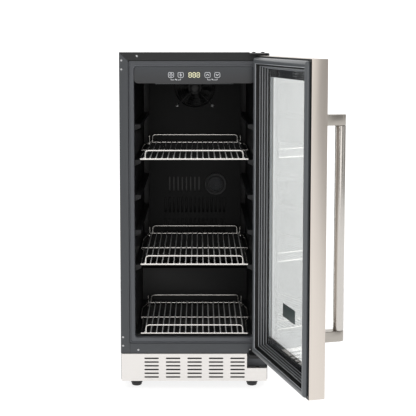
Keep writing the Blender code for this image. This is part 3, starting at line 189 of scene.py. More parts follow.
# %% Paint and plastic
def grained(name, colour, rough, grain, depth, metal=0.0, coat=0.0, gloss=0.5):
    """A finish with a fine even grain, slight cloudiness and matching gloss."""
    made = Finish(name, Metallic=metal, Coat_Weight=coat, Coat_Roughness=0.2, Specular_IOR_Level=gloss)
    where = made.spot()
    cloud = made.noise(where, 9.0, 2.0)
    skin = made.noise(where, grain, 2.0)
    made.feed("Base Color", made.blend(cloud, shade(colour, 0.86), colour))
    made.feed("Roughness", made.between(cloud * 0.5 + skin * 0.5, rough - 0.07, rough + 0.07))
    made.relief(skin, depth, 0.0004)
    return made.material


CHARCOAL = grained("charcoal_powder_coat", tone(70, 73, 77), 0.46, 1400.0, 0.16)
# The same charcoal, darker: painted shade for the front frame's top strip.
SHADED_TOP_CHARCOAL = grained("charcoal_top_painted_shade", tone(42, 43, 44), 0.50, 1400.0, 0.16, gloss=0.35)
STRIP = grained("breaker_strip_plastic", tone(84, 87, 92), 0.34, 2200.0, 0.08)
LINER = grained("black_liner_plastic", tone(25, 26, 28), 0.42, 1800.0, 0.10, gloss=0.32)
DUCT = grained("duct_plastic", tone(19, 20, 21), 0.50, 1800.0, 0.10, gloss=0.18)
BEZEL = grained("door_frame_plastic", tone(30, 32, 34), 0.30, 1500.0, 0.06, coat=0.3)
# Pale beads on the dark door frame are painted highlights along its edges.
HIGHLIGHT_BEAD = grained("painted_highlight_bead", tone(186, 190, 195), 0.22, 1500.0, 0.04, coat=0.5)
CAP_GREY = grained("cap_plastic", tone(52, 53, 54), 0.45, 1500.0, 0.12)
# Near-black for real seams, and for painted shade in gaps, grooves, slots, recesses and the ledge hole.
SEAM_AND_SHADE_BLACK = grained("seam_black_and_painted_shade", tone(9, 9, 10), 0.60, 900.0, 0.10)
BLACK = grained("black_moulding", tone(30, 31, 33), 0.48, 1600.0, 0.18)
BLACK_METAL_AND_SHADE = grained("black_coated_steel_and_painted_shade", tone(26, 26, 27), 0.38, 1500.0, 0.12, metal=0.3)
GREY = grained("grey_moulding", tone(88, 91, 96), 0.50, 1500.0, 0.15)
RUBBER = grained("gasket_rubber", tone(88, 92, 96), 0.36, 2600.0, 0.06, coat=0.3)
BOARD = grained("circuit_board", (0.02, 0.16, 0.07, 1), 0.45, 900.0, 0.10)
FOAM = grained("blown_foam", (0.80, 0.70, 0.46, 1), 0.90, 500.0, 0.60)
LAMP = grained("lamp_diffuser", tone(62, 65, 68), 0.28, 1200.0, 0.05, coat=0.3)
print("paints and plastics:", len(bpy.data.materials))

# %% [markdown]
# ## Brushed steel
# Brushing leaves scratches that run one way. Noise that is squeezed across the brushing and drawn out along
# it gives them, and they change the gloss and the height but hardly the colour. The steel is warm in tone.

# %% Steel, aluminium and bright wire
def brushed(name, colour, rough, along, depth=0.10):
    """A metal with scratches along one axis: 0, 1 or 2 for X, Y or Z."""
    made = Finish(name, Metallic=1.0)
    stretch = [900.0, 900.0, 900.0]
    stretch[along] = 6.0
    fine = made.noise(made.spot(tuple(stretch)), 1.0, 3.0, 0.6)
    broad = made.noise(made.spot(tuple(value / 14 for value in stretch)), 1.0, 2.0)
    scratch = fine * 0.7 + broad * 0.3
    made.feed("Base Color", made.blend(scratch, shade(colour, 0.90), colour))
    made.feed("Roughness", made.between(scratch, rough - 0.08, rough + 0.10))
    made.relief(fine, depth, 0.0002)
    return made.material


STEEL_UP = brushed("stainless_brushed_upright", tone(221, 213, 205), 0.34, 2)
STEEL_ACROSS = brushed("stainless_brushed_across", tone(234, 231, 228), 0.36, 0)
HANDLE_STEEL = brushed("satin_handle_steel", tone(204, 200, 195), 0.24, 2, 0.06)
BRACKET_STEEL = brushed("satin_bracket_steel", tone(178, 173, 166), 0.30, 2, 0.06)
ALUMINIUM = brushed("mill_aluminium", tone(205, 208, 211), 0.34, 2)
# The plated wire again, painted dark: painted shade and painted dark reflection for the thin shelf wires.
SHADED_WIRE = grained("shaded_wire_painted_dark", tone(48, 47, 46), 0.34, 700.0, 0.04, metal=1.0)
NICKEL = grained("nickel_plated_wire", tone(238, 235, 231), 0.22, 700.0, 0.04, metal=1.0)
SCREW_STEEL = grained("screw_steel", tone(196, 197, 199), 0.30, 900.0, 0.05, metal=1.0)
print("metals ready, last:", SCREW_STEEL.name)

# %% [markdown]
# ## Glass, print and light
# The door has two clear panes. Behind the door's edge the inner pane carries a printed black border, which
# hides the spacer. The print is a thin dark ring, carried round the door between two distances from its edge.
# The digits and the touch signs glow, so they are the fridge's only finishes with emission.

# %% Clear glass, printed border and lit signs
def clear_glass():
    made = Finish("door_glass", Roughness=0.01, IOR=1.5, Transmission_Weight=1.0)
    haze = made.noise(made.spot(), 3.0, 1.0)
    made.feed("Base Color", made.blend(haze, (0.972, 0.986, 0.981, 1), (0.981, 0.992, 0.988, 1)))
    return made.material


def glowing(name, colour, strength):
    made = Finish(name, Base_Color=colour, Roughness=0.5, Emission_Strength=strength)
    speckle = made.noise(made.spot(), 900.0, 1.0)
    made.feed("Emission Color", made.blend(speckle, shade(colour, 0.85), colour))
    return made.material


def panel_gloss():
    """The control panel: a satin film that is bluer at the top and darker at the bottom."""
    made = Finish("control_panel_film", Coat_Weight=0.12, Coat_Roughness=0.20)
    low, high = span("control_panel")
    height = Wire(made, made.node("ShaderNodeSeparateXYZ", {0: made.spot()}).outputs[2])
    ramp = made.node("ShaderNodeValToRGB", {0: (height - low.z) * (1 / (high.z - low.z))})
    for stop, colour in zip(ramp.color_ramp.elements, (tone(36, 37, 40), tone(50, 55, 61))):
        stop.color = colour
    made.feed("Base Color", ramp.outputs[0])
    made.feed("Roughness", made.between(made.noise(made.spot(), 1500.0), 0.28, 0.40))
    return made.material


GLASS = clear_glass()
PRINT = grained("printed_border", tone(27, 30, 33), 0.22, 600.0, 0.02, coat=0.4)
DIGITS = glowing("lit_digits", tone(240, 238, 196), 0.95)
SIGNS = glowing("lit_signs", tone(214, 217, 221), 0.62)
PANEL = panel_gloss()
LABEL = grained("blank_label_film", tone(70, 80, 80), 0.42, 800.0, 0.03)
print("glass and lights ready, last:", LABEL.name)

# %% [markdown]
# ## Handing a piece over
# A finished piece is one plain mesh at the origin. The helper below gives it its material, says which solids
# it stands for and which body it rides on. Solids whose shape is right stay and only get a better finish.

# %% Piece helpers
def mesh_of(name, cage):
    """A bmesh becomes a mesh whose faces point outwards."""
    bmesh.ops.recalc_face_normals(cage, faces=cage.faces)
    mesh = bpy.data.meshes.new(name)
    cage.to_mesh(mesh)
    cage.free()
    return mesh


def piece_of(name, mesh, finish=None):
    made = bpy.data.objects.new(name, mesh)
    bpy.context.scene.collection.objects.link(made)
    if finish:
        mesh.materials.clear()
        mesh.materials.append(finish)
    return made


def settled(piece):
    """Applies a piece's modifiers, so that a plain mesh is left."""
    graph = bpy.context.evaluated_depsgraph_get()
    mesh = bpy.data.meshes.new_from_object(piece.evaluated_get(graph))
    piece.modifiers.clear()
    piece.data = mesh
    return piece


def hand_over(piece, body, *nodes, slot=None):
    """The piece rides on a body and stands for the named solids."""
    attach(piece, body)
    if nodes:
        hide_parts(*nodes)
    return piece


def smooth(piece, angle=40):
    piece.data.shade_smooth()
    piece.data.set_sharp_from_angle(angle=math.radians(angle))
    return piece


def rounded_edges(piece, width, segments=2, angle=30):
    """Rolls every sharp edge, as a mould or a press leaves it."""
    change = piece.modifiers.new("rolled", "BEVEL")
    change.width = width
    change.segments = segments
    change.limit_method = "ANGLE"
    change.angle_limit = math.radians(angle)
    change.harden_normals = True
    piece.data.shade_smooth()
    return settled(piece)


def merged_copy(node):
    """A copy of a solid's mesh with its loose triangles merged into plain faces."""
    cage = bmesh.new()
    cage.from_mesh(frame["nodes"][node].data)
    bmesh.ops.remove_doubles(cage, verts=cage.verts, dist=1e-6)
    bmesh.ops.dissolve_limit(cage, angle_limit=math.radians(1), verts=cage.verts, edges=cage.edges)
    return mesh_of(node, cage)


def rolled(node, body, finish, width, segments=2):
    """Stands for a solid with a copy whose edges are rounded."""
    piece = rounded_edges(piece_of(f"{node}_shape", merged_copy(node), finish), width, segments)
    return hand_over(piece, body, node)


def repaint(finish, *nodes):
    for node in nodes:
        for holder in frame["nodes"][node].material_slots:
            holder.material = finish


# %% [markdown]
# ## Repeats with Geometry Nodes
# Wires, rings, slots, fins and screws come in rows and circles. A node tree makes one and places it many
# times, so a count or a pitch is one number. Each tree here is built from a list of steps, its sizes are
# named inputs, and it ends by realising its instances and setting their material.

# %% Geometry Nodes helper
class Recipe:
    """A geometry tree with named inputs, which are read as recipe["Name"]."""

    def __init__(self, name, *sizes):
        self.tree = bpy.data.node_groups.new(name, "GeometryNodeTree")
        sockets = self.tree.interface
        for way in ("INPUT", "OUTPUT"):
            sockets.new_socket("Mesh", in_out=way, socket_type="NodeSocketGeometry")
        for size in sizes:
            kind = "NodeSocketInt" if size == "Count" else "NodeSocketFloat"
            sockets.new_socket(size, in_out="INPUT", socket_type=kind)
        sockets.new_socket("Finish", in_out="INPUT", socket_type="NodeSocketMaterial")
        self.start = self.tree.nodes.new("NodeGroupInput")
        self.end = self.tree.nodes.new("NodeGroupOutput")

    def __getitem__(self, name):
        return self.start.outputs[name]

    def add(self, kind, sockets=None, out=0, **settings):
        made = self.tree.nodes.new(kind)
        for name, value in settings.items():
            setattr(made, name, value)
        for key, value in (sockets or {}).items():
            if isinstance(value, bpy.types.NodeSocket):
                self.tree.links.new(value, made.inputs[key])
            else:
                made.inputs[key].default_value = value
        return made.outputs[out]

    def maths(self, operation, *values):
        return self.add("ShaderNodeMath", dict(enumerate(values)), operation=operation)

    def vector(self, **parts):
        return self.add("ShaderNodeCombineXYZ", parts)

    def row(self, count, offset=(0, 0, 0), start=(0, 0, 0)):
        """Points in a row."""
        return self.add("GeometryNodeMeshLine", {"Count": count, "Start Location": start, "Offset": offset})

    def scatter(self, points, instance, **more):
        """The instance on each of the points."""
        return self.add("GeometryNodeInstanceOnPoints", {"Points": points, "Instance": instance, **more})

    def real(self, instances):
        return self.add("GeometryNodeRealizeInstances", {0: instances})

    def tipped(self, geometry, angle):
        return self.add("GeometryNodeTransform", {"Geometry": geometry, "Rotation": (angle, 0, 0)})

    def sweep(self, curve, outline):
        sockets = {"Curve": curve, "Profile Curve": outline, "Fill Caps": True}
        return self.add("GeometryNodeCurveToMesh", sockets)

    def wire(self, curve, radius, sides):
        """A curve becomes a round wire."""
        ring = self.add("GeometryNodeCurvePrimitiveCircle", {"Resolution": sides, "Radius": radius})
        return self.sweep(curve, ring)

    def finish(self, geometry):
        sockets = {"Geometry": self.real(geometry), "Material": self["Finish"]}
        painted = self.add("GeometryNodeSetMaterial", sockets)
        self.tree.links.new(painted, self.end.inputs[0])

    def make(self, name, finish, place=Matrix.Identity(4), base=None, **sizes):
        """Runs the tree once and returns a plain mesh piece."""
        piece = piece_of(name, base or bpy.data.meshes.new(name))
        change = piece.modifiers.new("recipe", "NODES")
        change.node_group = self.tree
        given = {"Finish": finish, **sizes}
        for item in self.tree.interface.items_tree:
            if item.in_out == "INPUT" and item.name in given:
                change[item.identifier] = given[item.name]
        settled(piece)
        piece.data.transform(place)
        print(f"{name}: {len(piece.data.polygons)} faces")
        return piece


def wire_along(name, points, radius, finish, sides=8, closed=False):
    """A round wire through points, for one-off shapes."""
    curve = bpy.data.curves.new(name, "CURVE")
    curve.dimensions = "3D"
    curve.bevel_depth = radius
    curve.bevel_resolution = max(1, (sides - 4) // 2)
    curve.use_fill_caps = True
    spline = curve.splines.new("POLY")
    spline.points.add(len(points) - 1)
    spline.use_cyclic_u = closed
    for point, spot in zip(spline.points, points):
        point.co = (*spot, 1)
    guide = piece_of(name, curve)
    graph = bpy.context.evaluated_depsgraph_get()
    mesh = bpy.data.meshes.new_from_object(guide.evaluated_get(graph))
    bpy.data.objects.remove(guide)
    cage = bmesh.new()
    cage.from_mesh(mesh)
    bmesh.ops.remove_doubles(cage, verts=cage.verts, dist=1e-6)
    return piece_of(name, mesh_of(name, cage), finish)


def merge(name, pieces):
    """Several pieces become one, and keep their materials."""
    cage = bmesh.new()
    finishes = []
    for piece in pieces:
        paint = piece.data.materials[0]
        if paint not in finishes:
            finishes.append(paint)
        start = len(cage.faces)
        cage.from_mesh(piece.data)
        cage.faces.ensure_lookup_table()
        for face in cage.faces[start:]:
            face.material_index = finishes.index(paint)
        bpy.data.objects.remove(piece)
    mesh = bpy.data.meshes.new(name)
    cage.to_mesh(mesh)
    cage.free()
    made = piece_of(name, mesh)
    for paint in finishes:
        mesh.materials.append(paint)
    return made


# %% [markdown]
# ## Frames with mitred corners
# The front frame, the breaker strip, the door's inner frame and its gasket are all one section carried
# round a rectangle. Each point of the section makes one ring, drawn in by its own distance, and the rings
# are joined. A corner radius turns a mitre into a moulded corner.

# %% Sections carried round a rectangle
def ring_points(left, right, low, high, radius, steps=5):
    radius = max(radius, 1e-5)
    middles = ((right - radius, high - radius), (left + radius, high - radius),
               (left + radius, low + radius), (right - radius, low + radius))
    points = []
    for quarter, (u, v) in enumerate(middles):
        for step in range(steps + 1):
            angle = (quarter + step / steps) * math.pi / 2
            points.append((u + radius * math.cos(angle), v + radius * math.sin(angle)))
    return points


def carried(name, rectangle, section, finish, corner=0.0, growth=-1.0, place=Matrix.Identity(4),
            widths=(1, 1, 1, 1)):
    """Carries a closed section of (inward, depth) points round a rectangle (left, right, low, high).

    The corner radius changes by the growth for each unit inward. The widths stretch the section on each of
    the four sides, where a band isn't equally wide all round."""
    left, right, low, high = rectangle
    by_left, by_right, by_low, by_high = widths
    cage = bmesh.new()
    rings = []
    for inward, depth in section:
        radius = max(corner + growth * inward, 0.0)
        flat = ring_points(left + inward * by_left, right - inward * by_right, low + inward * by_low,
                           high - inward * by_high, radius)
        rings.append([cage.verts.new((u, depth, v)) for u, v in flat])
    for first, second in zip(rings, rings[1:] + rings[:1]):
        for n in range(len(first)):
            after = (n + 1) % len(first)
            cage.faces.new((first[n], first[after], second[after], second[n]))
    bmesh.ops.remove_doubles(cage, verts=cage.verts, dist=2e-5)
    bmesh.ops.dissolve_degenerate(cage, edges=cage.edges, dist=1e-6)
    mesh = mesh_of(name, cage)
    mesh.transform(place)
    return smooth(piece_of(name, mesh, finish), 28)


# %% [markdown]
# ## The cabinet's front
# The front frame is pressed from sheet: a flat face, a rolled outer edge, and a small step down to the
# breaker strip. The strip is a separate extrusion with a raised bead, which catches the light as a thin
# bright line, and a rounded lip into the opening. Its corners are rounded, the frame's are mitred.

# %% Front frame and breaker strip
strip_low, strip_high = span("breaker_strip")
STRIP_WIDTH = 0.0135
FRAME_EDGE = strip_low.x - frame_low.x
face_box = (frame_low.x, frame_high.x, frame_low.z, frame_high.z)
back = frame_high.y


def fold(start, end, corner, steps=3):
    """The points of a rounded bend from start to end about a corner."""
    first, last, middle = Vector(start), Vector(end), Vector(corner)
    parts = []
    for n in range(steps + 1):
        t = n / steps
        parts.append(tuple(first * (1 - t) ** 2 + middle * 2 * t * (1 - t) + last * t ** 2))
    return parts


frame_section = [(0, back), *fold((0, FRONT + 0.003), (0.003, FRONT), (0, FRONT)),
                 *fold((FRAME_EDGE - 0.0022, FRONT), (FRAME_EDGE - 0.0008, FRONT + 0.0014),
                       (FRAME_EDGE - 0.0008, FRONT)), (FRAME_EDGE - 0.0008, back)]
low_width = (strip_low.z - frame_low.z - 0.0008) / (FRAME_EDGE - 0.0008)
top_width = (frame_high.z - strip_high.z - 0.0008) / (FRAME_EDGE - 0.0008)
front_shape = carried("front_frame_shape", face_box, frame_section, CHARCOAL,
                      widths=(1, 1, low_width, top_width))
# The top strip of the frame takes the darker copy of the paint: painted shade for the way light falls on it.
front_shape.data.materials.append(SHADED_TOP_CHARCOAL)
for strip_face in front_shape.data.polygons:
    if abs(strip_face.center.x - MIDDLE) < 0.02 and strip_face.center.z > frame_high.z - 0.05:
        strip_face.material_index = 1

strip_box = (strip_low.x, strip_high.x, strip_low.z, strip_high.z)
lip = strip_low.y
strip_section = [(0, strip_high.y), (0, lip + 0.0012),
                 *fold((0.0002, lip), (0.0024, lip), (0.0012, lip - 0.0012)),
                 (0.0030, lip + 0.0018), (0.0098, lip + 0.0012),
                 *fold((0.0108, lip + 0.0006), (STRIP_WIDTH, lip + 0.0042), (STRIP_WIDTH, lip)),
                 (STRIP_WIDTH, strip_high.y)]
strip_shape = carried("breaker_strip_shape", strip_box, strip_section, STRIP, corner=0.0035, growth=0.40)
gap_section = [(-0.006, lip + 0.006), (0.009, lip + 0.006), (0.009, lip + 0.0064), (-0.006, lip + 0.0064)]
gap_shade = carried("frame_gap_shade", strip_box, gap_section, SEAM_AND_SHADE_BLACK)
hand_over(gap_shade, "cabinet", slot="black_plastic")
print("front frame edge", round(FRAME_EDGE, 4))

# %% [markdown]
# The frame's top right corner is cut out for the hinge plate. A Boolean with the solid's own notch would
# work, but a plain box is enough. The frame is four strips with a seam at each mitre, and the lower one
# butts against the left upright, so thin dark seams are laid in the joints, and dimples mark the screws.

# %% Notch, seams and screw dimples
def block(name, low, high, finish, turn=Matrix.Identity(4)):
    """A box between two corners."""
    low, high = Vector(low), Vector(high)
    cage = bmesh.new()
    place = Matrix.Translation((low + high) / 2) @ Matrix.Diagonal((*(high - low), 1.0))
    bmesh.ops.create_cube(cage, size=1.0, matrix=turn @ place)
    return piece_of(name, mesh_of(name, cage), finish)


def carve(piece, tool, operation="DIFFERENCE"):
    change = piece.modifiers.new("carve", "BOOLEAN")
    change.operation = operation
    change.solver = "EXACT"
    change.object = tool
    settled(piece)
    bpy.data.objects.remove(tool)
    return piece


plate_low, plate_high = span("hinge_upper")
notch = block("notch", (plate_low.x - 0.0004, FRONT - 0.02, plate_high.z - 0.0036),
              (frame_high.x + 0.02, FRONT + 0.03, frame_high.z + 0.02), CHARCOAL)
carve(front_shape, notch)
smooth(front_shape, 28)
hand_over(front_shape, "cabinet", "front_frame", slot="grey_paint")
hand_over(strip_shape, "cabinet", "breaker_strip", slot="grey_strip")

SEAM_SINK = 0.0003
seams = []
for side in (-1, 1):
    for level, rise in ((frame_high.z, -1), (frame_low.z, 1)):
        edge = MIDDLE + side * (frame_high.x - frame_low.x) / 2
        if side > 0 and rise < 0:
            continue
        end = (edge - side * 0.0240, level + rise * 0.0240)
        start = (edge - side * 0.0022, level + rise * 0.0022)
        if rise > 0:
            start = (end[0], level + 0.001)
            end = (end[0], level + 0.026)
        ends = [(across, FRONT + SEAM_SINK, up) for across, up in (start, end)]
        seams.append(wire_along("seam", ends, 0.00055, SEAM_AND_SHADE_BLACK, 6))
hand_over(merge("front_frame_seams", seams), "cabinet", slot="black_plastic")

dimple = Recipe("dimples")
screw_head = dimple.add("GeometryNodeMeshCone", {"Vertices": 20, "Radius Top": 0.0013,
                                                 "Radius Bottom": 0.0026, "Depth": 0.0007})
dimple.finish(dimple.scatter(dimple["Mesh"], dimple.tipped(screw_head, math.pi / 2)))


def points_mesh(points):
    """A mesh of loose points, to place things on."""
    mesh = bpy.data.meshes.new("points")
    mesh.from_pydata(points, [], [])
    return mesh


spots = []
for side in (-1, 1):
    for across, up in ((0.0455, 0.0095), (0.0062, 0.0205), (0.0062, 0.0430)):
        x = MIDDLE + side * ((frame_high.x - frame_low.x) / 2 - across)
        if side < 0:
            spots.append((x, FRONT - 0.0002, frame_high.z - up))
        spots.append((x, FRONT - 0.0002, frame_low.z + up))
heads_piece = dimple.make("front_frame_screws", SCREW_STEEL, base=points_mesh(spots))
hand_over(smooth(heads_piece), "cabinet", slot="zinc_steel")

# %% [markdown]
# ## Cabinet body and liner
# The wrapper, the liner and the hinge parts have the right shape as solids, but a real press or mould leaves
# no knife edges. A merged copy of each solid gets a small bevel, which is what catches the light.

# %% Wrapper, liner and folded sheets
rolled("cabinet_shell", "cabinet", CHARCOAL, 0.0011)
rolled("inner_liner", "cabinet", LINER, 0.0012)
rolled("corner_block", "cabinet", GREY, 0.0012)
rolled("hinge_upper", "cabinet", BLACK_METAL_AND_SHADE, 0.0006)
rolled("hinge_lower", "cabinet", BLACK_METAL_AND_SHADE, 0.0006)
repaint(CHARCOAL, "back_panel", "rear_cover")
repaint(BLACK_METAL_AND_SHADE, "base_pan", "bay_ceiling")
repaint(FOAM, "insulation_foam", "door_core")
repaint(BOARD, "control_board")
repaint(DUCT, "duct_panel")
repaint(BLACK, "drain_tube", "evaporation_tray", "bush_lower", "bush_upper")
print("cabinet body done")

# %% [markdown]
# ## Wire shelves
# A shelf is round wire welded in layers. Eighteen thin wires run from front to back and lie on three cross
# wires. A node tree lays the thin ones in a row. At both ends of the shelf a bent guard stops the bottles,
# and at the back corners the side wires rise into short hooks that keep the shelf from tipping.

# %% Wires in a row
row = Recipe("wire_row", "Pitch", "Count", "Length", "Radius")
one = row.add("GeometryNodeCurvePrimitiveLine", {"End": row.vector(Y=row["Length"])})
places = row.row(row["Count"], row.vector(X=row["Pitch"]))
row.finish(row.scatter(places, row.wire(one, row["Radius"], 8)))


def bend(points, radius, steps=5):
    """A path whose inner corners are rounded."""
    path = [Vector(points[0])]
    for before, corner, after in zip(points, points[1:], points[2:]):
        before, corner, after = Vector(before), Vector(corner), Vector(after)
        start = corner + (before - corner).normalized() * radius
        end = corner + (after - corner).normalized() * radius
        for n in range(steps + 1):
            t = n / steps
            path.append(start * (1 - t) ** 2 + corner * 2 * t * (1 - t) + end * t ** 2)
    return path + [Vector(points[-1])]


CROSS = 0.0020
THIN = 0.0015
STOUT = 0.0025
GUARD = 0.0020
GUARD_HALF = 0.1257
WIRES = 18
WIRE_PITCH = 0.0151
WIRE_SHORT = 0.0012


# %% One shelf from its solids
def shelf(name):
    """Welded wires in the place of one shelf's solids."""
    low, high = span(f"shelf_{name}_grid")
    front_low, front_high = span(f"shelf_{name}_front_guard")
    middle = (low.x + high.x) / 2
    half_end = 0.1385
    depth = high.y - low.y
    wires = []
    for y, half, radius in ((low.y + STOUT, half_end, STOUT), (low.y + depth / 2, 0.1490, CROSS),
                            (high.y - CROSS, half_end, CROSS)):
        ends = [(middle + side * half, y, low.z + radius) for side in (-1, 1)]
        wires.append(wire_along("cross", ends, radius, NICKEL, 10))
    top = low.z + 2 * CROSS + THIN * 0.6
    place = Matrix.Translation((middle - (WIRES - 1) / 2 * WIRE_PITCH, low.y + WIRE_SHORT, top))
    # The thin wires take the dark copy of the plated wire as painted shade and reflection.
    wires.append(row.make("thin", SHADED_WIRE, place, Pitch=WIRE_PITCH, Count=WIRES,
                          Length=depth - 2 * WIRE_SHORT, Radius=THIN))
    for side in (-1, 1):
        wires.append(side_wire(middle, side, low, high, half_end))
        wires.append(corner_hook(middle, side, high, low, half_end))
    for y, level in ((front_low.y + GUARD, front_high.z), (high.y - GUARD, front_high.z)):
        wires.append(guard(middle, y, top, level))
    welded = smooth(merge(f"shelf_{name}_wires", wires), 50)
    hand_over(welded, f"shelf_{name}", f"shelf_{name}_grid", f"shelf_{name}_front_guard",
              f"shelf_{name}_rear_guard", slot="bright_wire")


def side_wire(middle, side, low, high, half_end):
    """The wire down one side of the shelf, which bows out to the guides."""
    depth = high.y - low.y
    z = low.z + CROSS
    outer, inner = 0.1480, half_end - 0.002
    points = [(inner, low.y + 0.004), (inner + 0.002, low.y + 0.018), (inner + 0.003, low.y + depth * 0.38),
              (outer, low.y + depth * 0.46), (outer, low.y + depth * 0.80), (inner + 0.002, high.y - 0.018),
              (inner, high.y - 0.004)]
    path = bend([(middle + side * x, y, z) for x, y in points], 0.012)
    return wire_along("side", path, CROSS * 0.9, NICKEL, 8)


def corner_hook(middle, side, high, low, half_end):
    """A short upright with a curl at a back corner."""
    x = middle + side * (half_end - 0.0045)
    y = high.y - 0.010
    base = low.z + CROSS
    points = [(x, y - 0.030, base), (x, y, base), (x, y, base + 0.024), (x, y - 0.010, base + 0.024),
              (x, y - 0.010, base + 0.010)]
    return wire_along("hook", bend(points, 0.0045, 4), CROSS * 0.8, NICKEL, 8)


def guard(middle, y, low_z, high_z):
    """A low bent rail that stands on the shelf."""
    left, right = middle - GUARD_HALF, middle + GUARD_HALF
    rail = high_z - GUARD
    points = [(left, y, low_z - THIN), (left, y, rail), (right, y, rail), (right, y, low_z - THIN)]
    return wire_along("guard", bend(points, 0.009, 6), GUARD, NICKEL, 10)


for shelf_name in ("upper", "middle", "lower"):
    shelf(shelf_name)

# %% [markdown]
# ## Kick plate
# A thin stainless sheet with folded edges closes the base. Thirty slots let air in to the condenser. Each
# slot was punched inwards, so its rim curls back. The rims are one instance on a grid of points.

# %% Slot rims and the folded edge
kick_low, kick_high = span("kick_plate")
KICK_LEFT = frame_low.x + 0.0607
rim = Recipe("slot_rims", "Wide", "Tall", "Corner")
oblong = rim.add("GeometryNodeCurvePrimitiveQuadrilateral", {"Width": rim["Wide"], "Height": rim["Tall"]})
stadium = rim.add("GeometryNodeFilletCurve", {"Curve": oblong, "Radius": rim["Corner"], "Count": 4},
                  mode="POLY")
rim.finish(rim.scatter(rim["Mesh"], rim.wire(rim.tipped(stadium, math.pi / 2), 0.0004, 6)))
SLOT_LONG, SLOT_TALL, SLOT_COLUMN, SLOT_ROW = 0.0378, 0.0039, 0.0556, 0.0099
slot_spots = []
for column in range(5):
    for level in range(6):
        x = KICK_LEFT + column * SLOT_COLUMN + SLOT_LONG / 2
        z = kick_high.z - 0.010 - level * SLOT_ROW - SLOT_TALL / 2
        slot_spots.append((x, kick_low.y + 0.0007, z))
rims = rim.make("kick_plate_slot_rims", BRACKET_STEEL, base=points_mesh(slot_spots), Wide=SLOT_LONG + 0.0007,
                Tall=SLOT_TALL + 0.0007, Corner=0.0022)
hand_over(smooth(rims, 60), "cabinet", slot="stainless")
# A black sheet with lips just behind the slots is painted shade, for the dark bay seen through them.
pad = 0.006
slot_shade_low = Vector((slot_spots[0][0] - 0.019 - pad, kick_low.y + 0.0050, slot_spots[5][2] - pad))
slot_shade_high = Vector((slot_spots[-1][0] + 0.019 + pad, kick_low.y + 0.0056, slot_spots[0][2] + pad))
baffle = [block("baffle", slot_shade_low, slot_shade_high, SEAM_AND_SHADE_BLACK)]
for level in (slot_shade_low.z, slot_shade_high.z):
    baffle.append(block("baffle_lip", (slot_shade_low.x, kick_low.y + 0.0016, level - 0.0006),
                        (slot_shade_high.x, slot_shade_high.y, level + 0.0006), SEAM_AND_SHADE_BLACK))
hand_over(merge("slot_baffle", baffle), "cabinet", slot="black_plastic")
repaint(STEEL_ACROSS, "kick_plate")
fold_x, fold_y = kick_low.x + 0.0006, kick_low.y + 0.0012
fold_ends = [(fold_x, fold_y, kick_low.z + 0.001), (fold_x, fold_y, kick_high.z - 0.001)]
edges = [wire_along("fold", fold_ends, 0.0008, STEEL_ACROSS, 8)]
folds = block("fold_left", (kick_low.x, fold_y, kick_low.z),
              (kick_low.x + 0.0012, kick_low.y + 0.012, kick_high.z), STEEL_ACROSS)
hand_over(merge("kick_plate_folds", [folds, *edges]), "cabinet", slot="stainless")

# %% [markdown]
# ## Door
# The outer skin is one stainless pressing round a foam core. Its free edge faces the viewer when the door is
# open, so its grain and its rounded arrises matter most. The inner frame is a painted moulding with a step
# round the glass, and the gasket is a soft section that snaps into it. Thin black rings in the frame's
# groove, by the door's edge and on the gasket's flank are painted shadow, and pale beads along the edges are
# painted highlights.

# %% Skin, inner frame and gasket
skin_low, skin_high = door_span("door_skin")
DOOR_BOX = (skin_low.x, skin_high.x, skin_low.z, skin_high.z)
gasket_low, gasket_high = door_span("door_gasket")
rolled("door_skin", "door", STEEL_UP, 0.0007)

inner_low, inner_high = door_span("door_inner_frame")
edge = inner_low.x - skin_low.x
pane_low, pane_high = door_span("inner_glass")
depth_in = pane_high.y + 0.0004
face = inner_high.y
bezel_section = [(edge, face - 0.0028), (edge, face - 0.0006), (edge + 0.0008, face), (0.0204, face),
                 (0.0209, face - 0.0026), (0.0226, face - 0.0026), (0.0231, face),
                 *fold((0.0252, face), (0.0262, face - 0.0010), (0.0262, face)),
                 (0.0262, face - 0.0058), *fold((0.0270, face - 0.0062), (0.0280, face - 0.0072),
                                                (0.0280, face - 0.0062)),
                 (0.0280, face - 0.0118), *fold((0.0288, face - 0.0122), (0.0300, face - 0.0132),
                                                (0.0300, face - 0.0122)),
                 (0.0300, depth_in + 0.0024), *fold((0.0306, depth_in + 0.0020), (0.0318, depth_in + 0.0010),
                                                    (0.0318, depth_in + 0.0020)),
                 (0.0318, depth_in), (0.0250, depth_in), (0.0250, face - 0.0034)]
bezel = carried("door_inner_frame_shape", DOOR_BOX, bezel_section, BEZEL, place=OPENED)
hand_over(bezel, "door", "door_inner_frame", slot="grey_paint")

near, far = gasket_low.y, gasket_high.y
start, stop = 0.0040, 0.0200
swell = (far - near) * 0.55
gasket_section = [(start + 0.0030, near), (start + 0.0012, near + 0.0020)]
for n in range(11):
    angle = n / 10 * math.pi
    across = (start + stop) / 2 - (stop - start) / 2 * math.cos(angle)
    gasket_section.append((across, far - swell * (1 - math.sin(angle))))
gasket_section += [(stop - 0.0012, near + 0.0020), (stop - 0.0016, near)]
seal = carried("door_gasket_shape", DOOR_BOX, gasket_section, RUBBER, corner=0.010, place=OPENED)
hand_over(seal, "door", "door_gasket", slot="rubber")


def flat_ring(name, start, stop, level, finish, thick=0.0003):
    """A thin ring on the door, between two distances from its edge."""
    section = [(start, level), (start, level + thick), (stop, level + thick), (stop, level)]
    return carried(name, DOOR_BOX, section, finish, place=OPENED)


# Black rings of painted shadow: on the door's face by its edge, beside the gasket, and in the frame's groove.
door_shadow_rings = [flat_ring("groove", start, stop, face + 0.0001, SEAM_AND_SHADE_BLACK) for start, stop in
           ((0.0001, 0.0041), (0.0196, 0.0209))]
door_shadow_rings.append(flat_ring("groove", 0.0212, 0.0224, face - 0.0025, SEAM_AND_SHADE_BLACK))
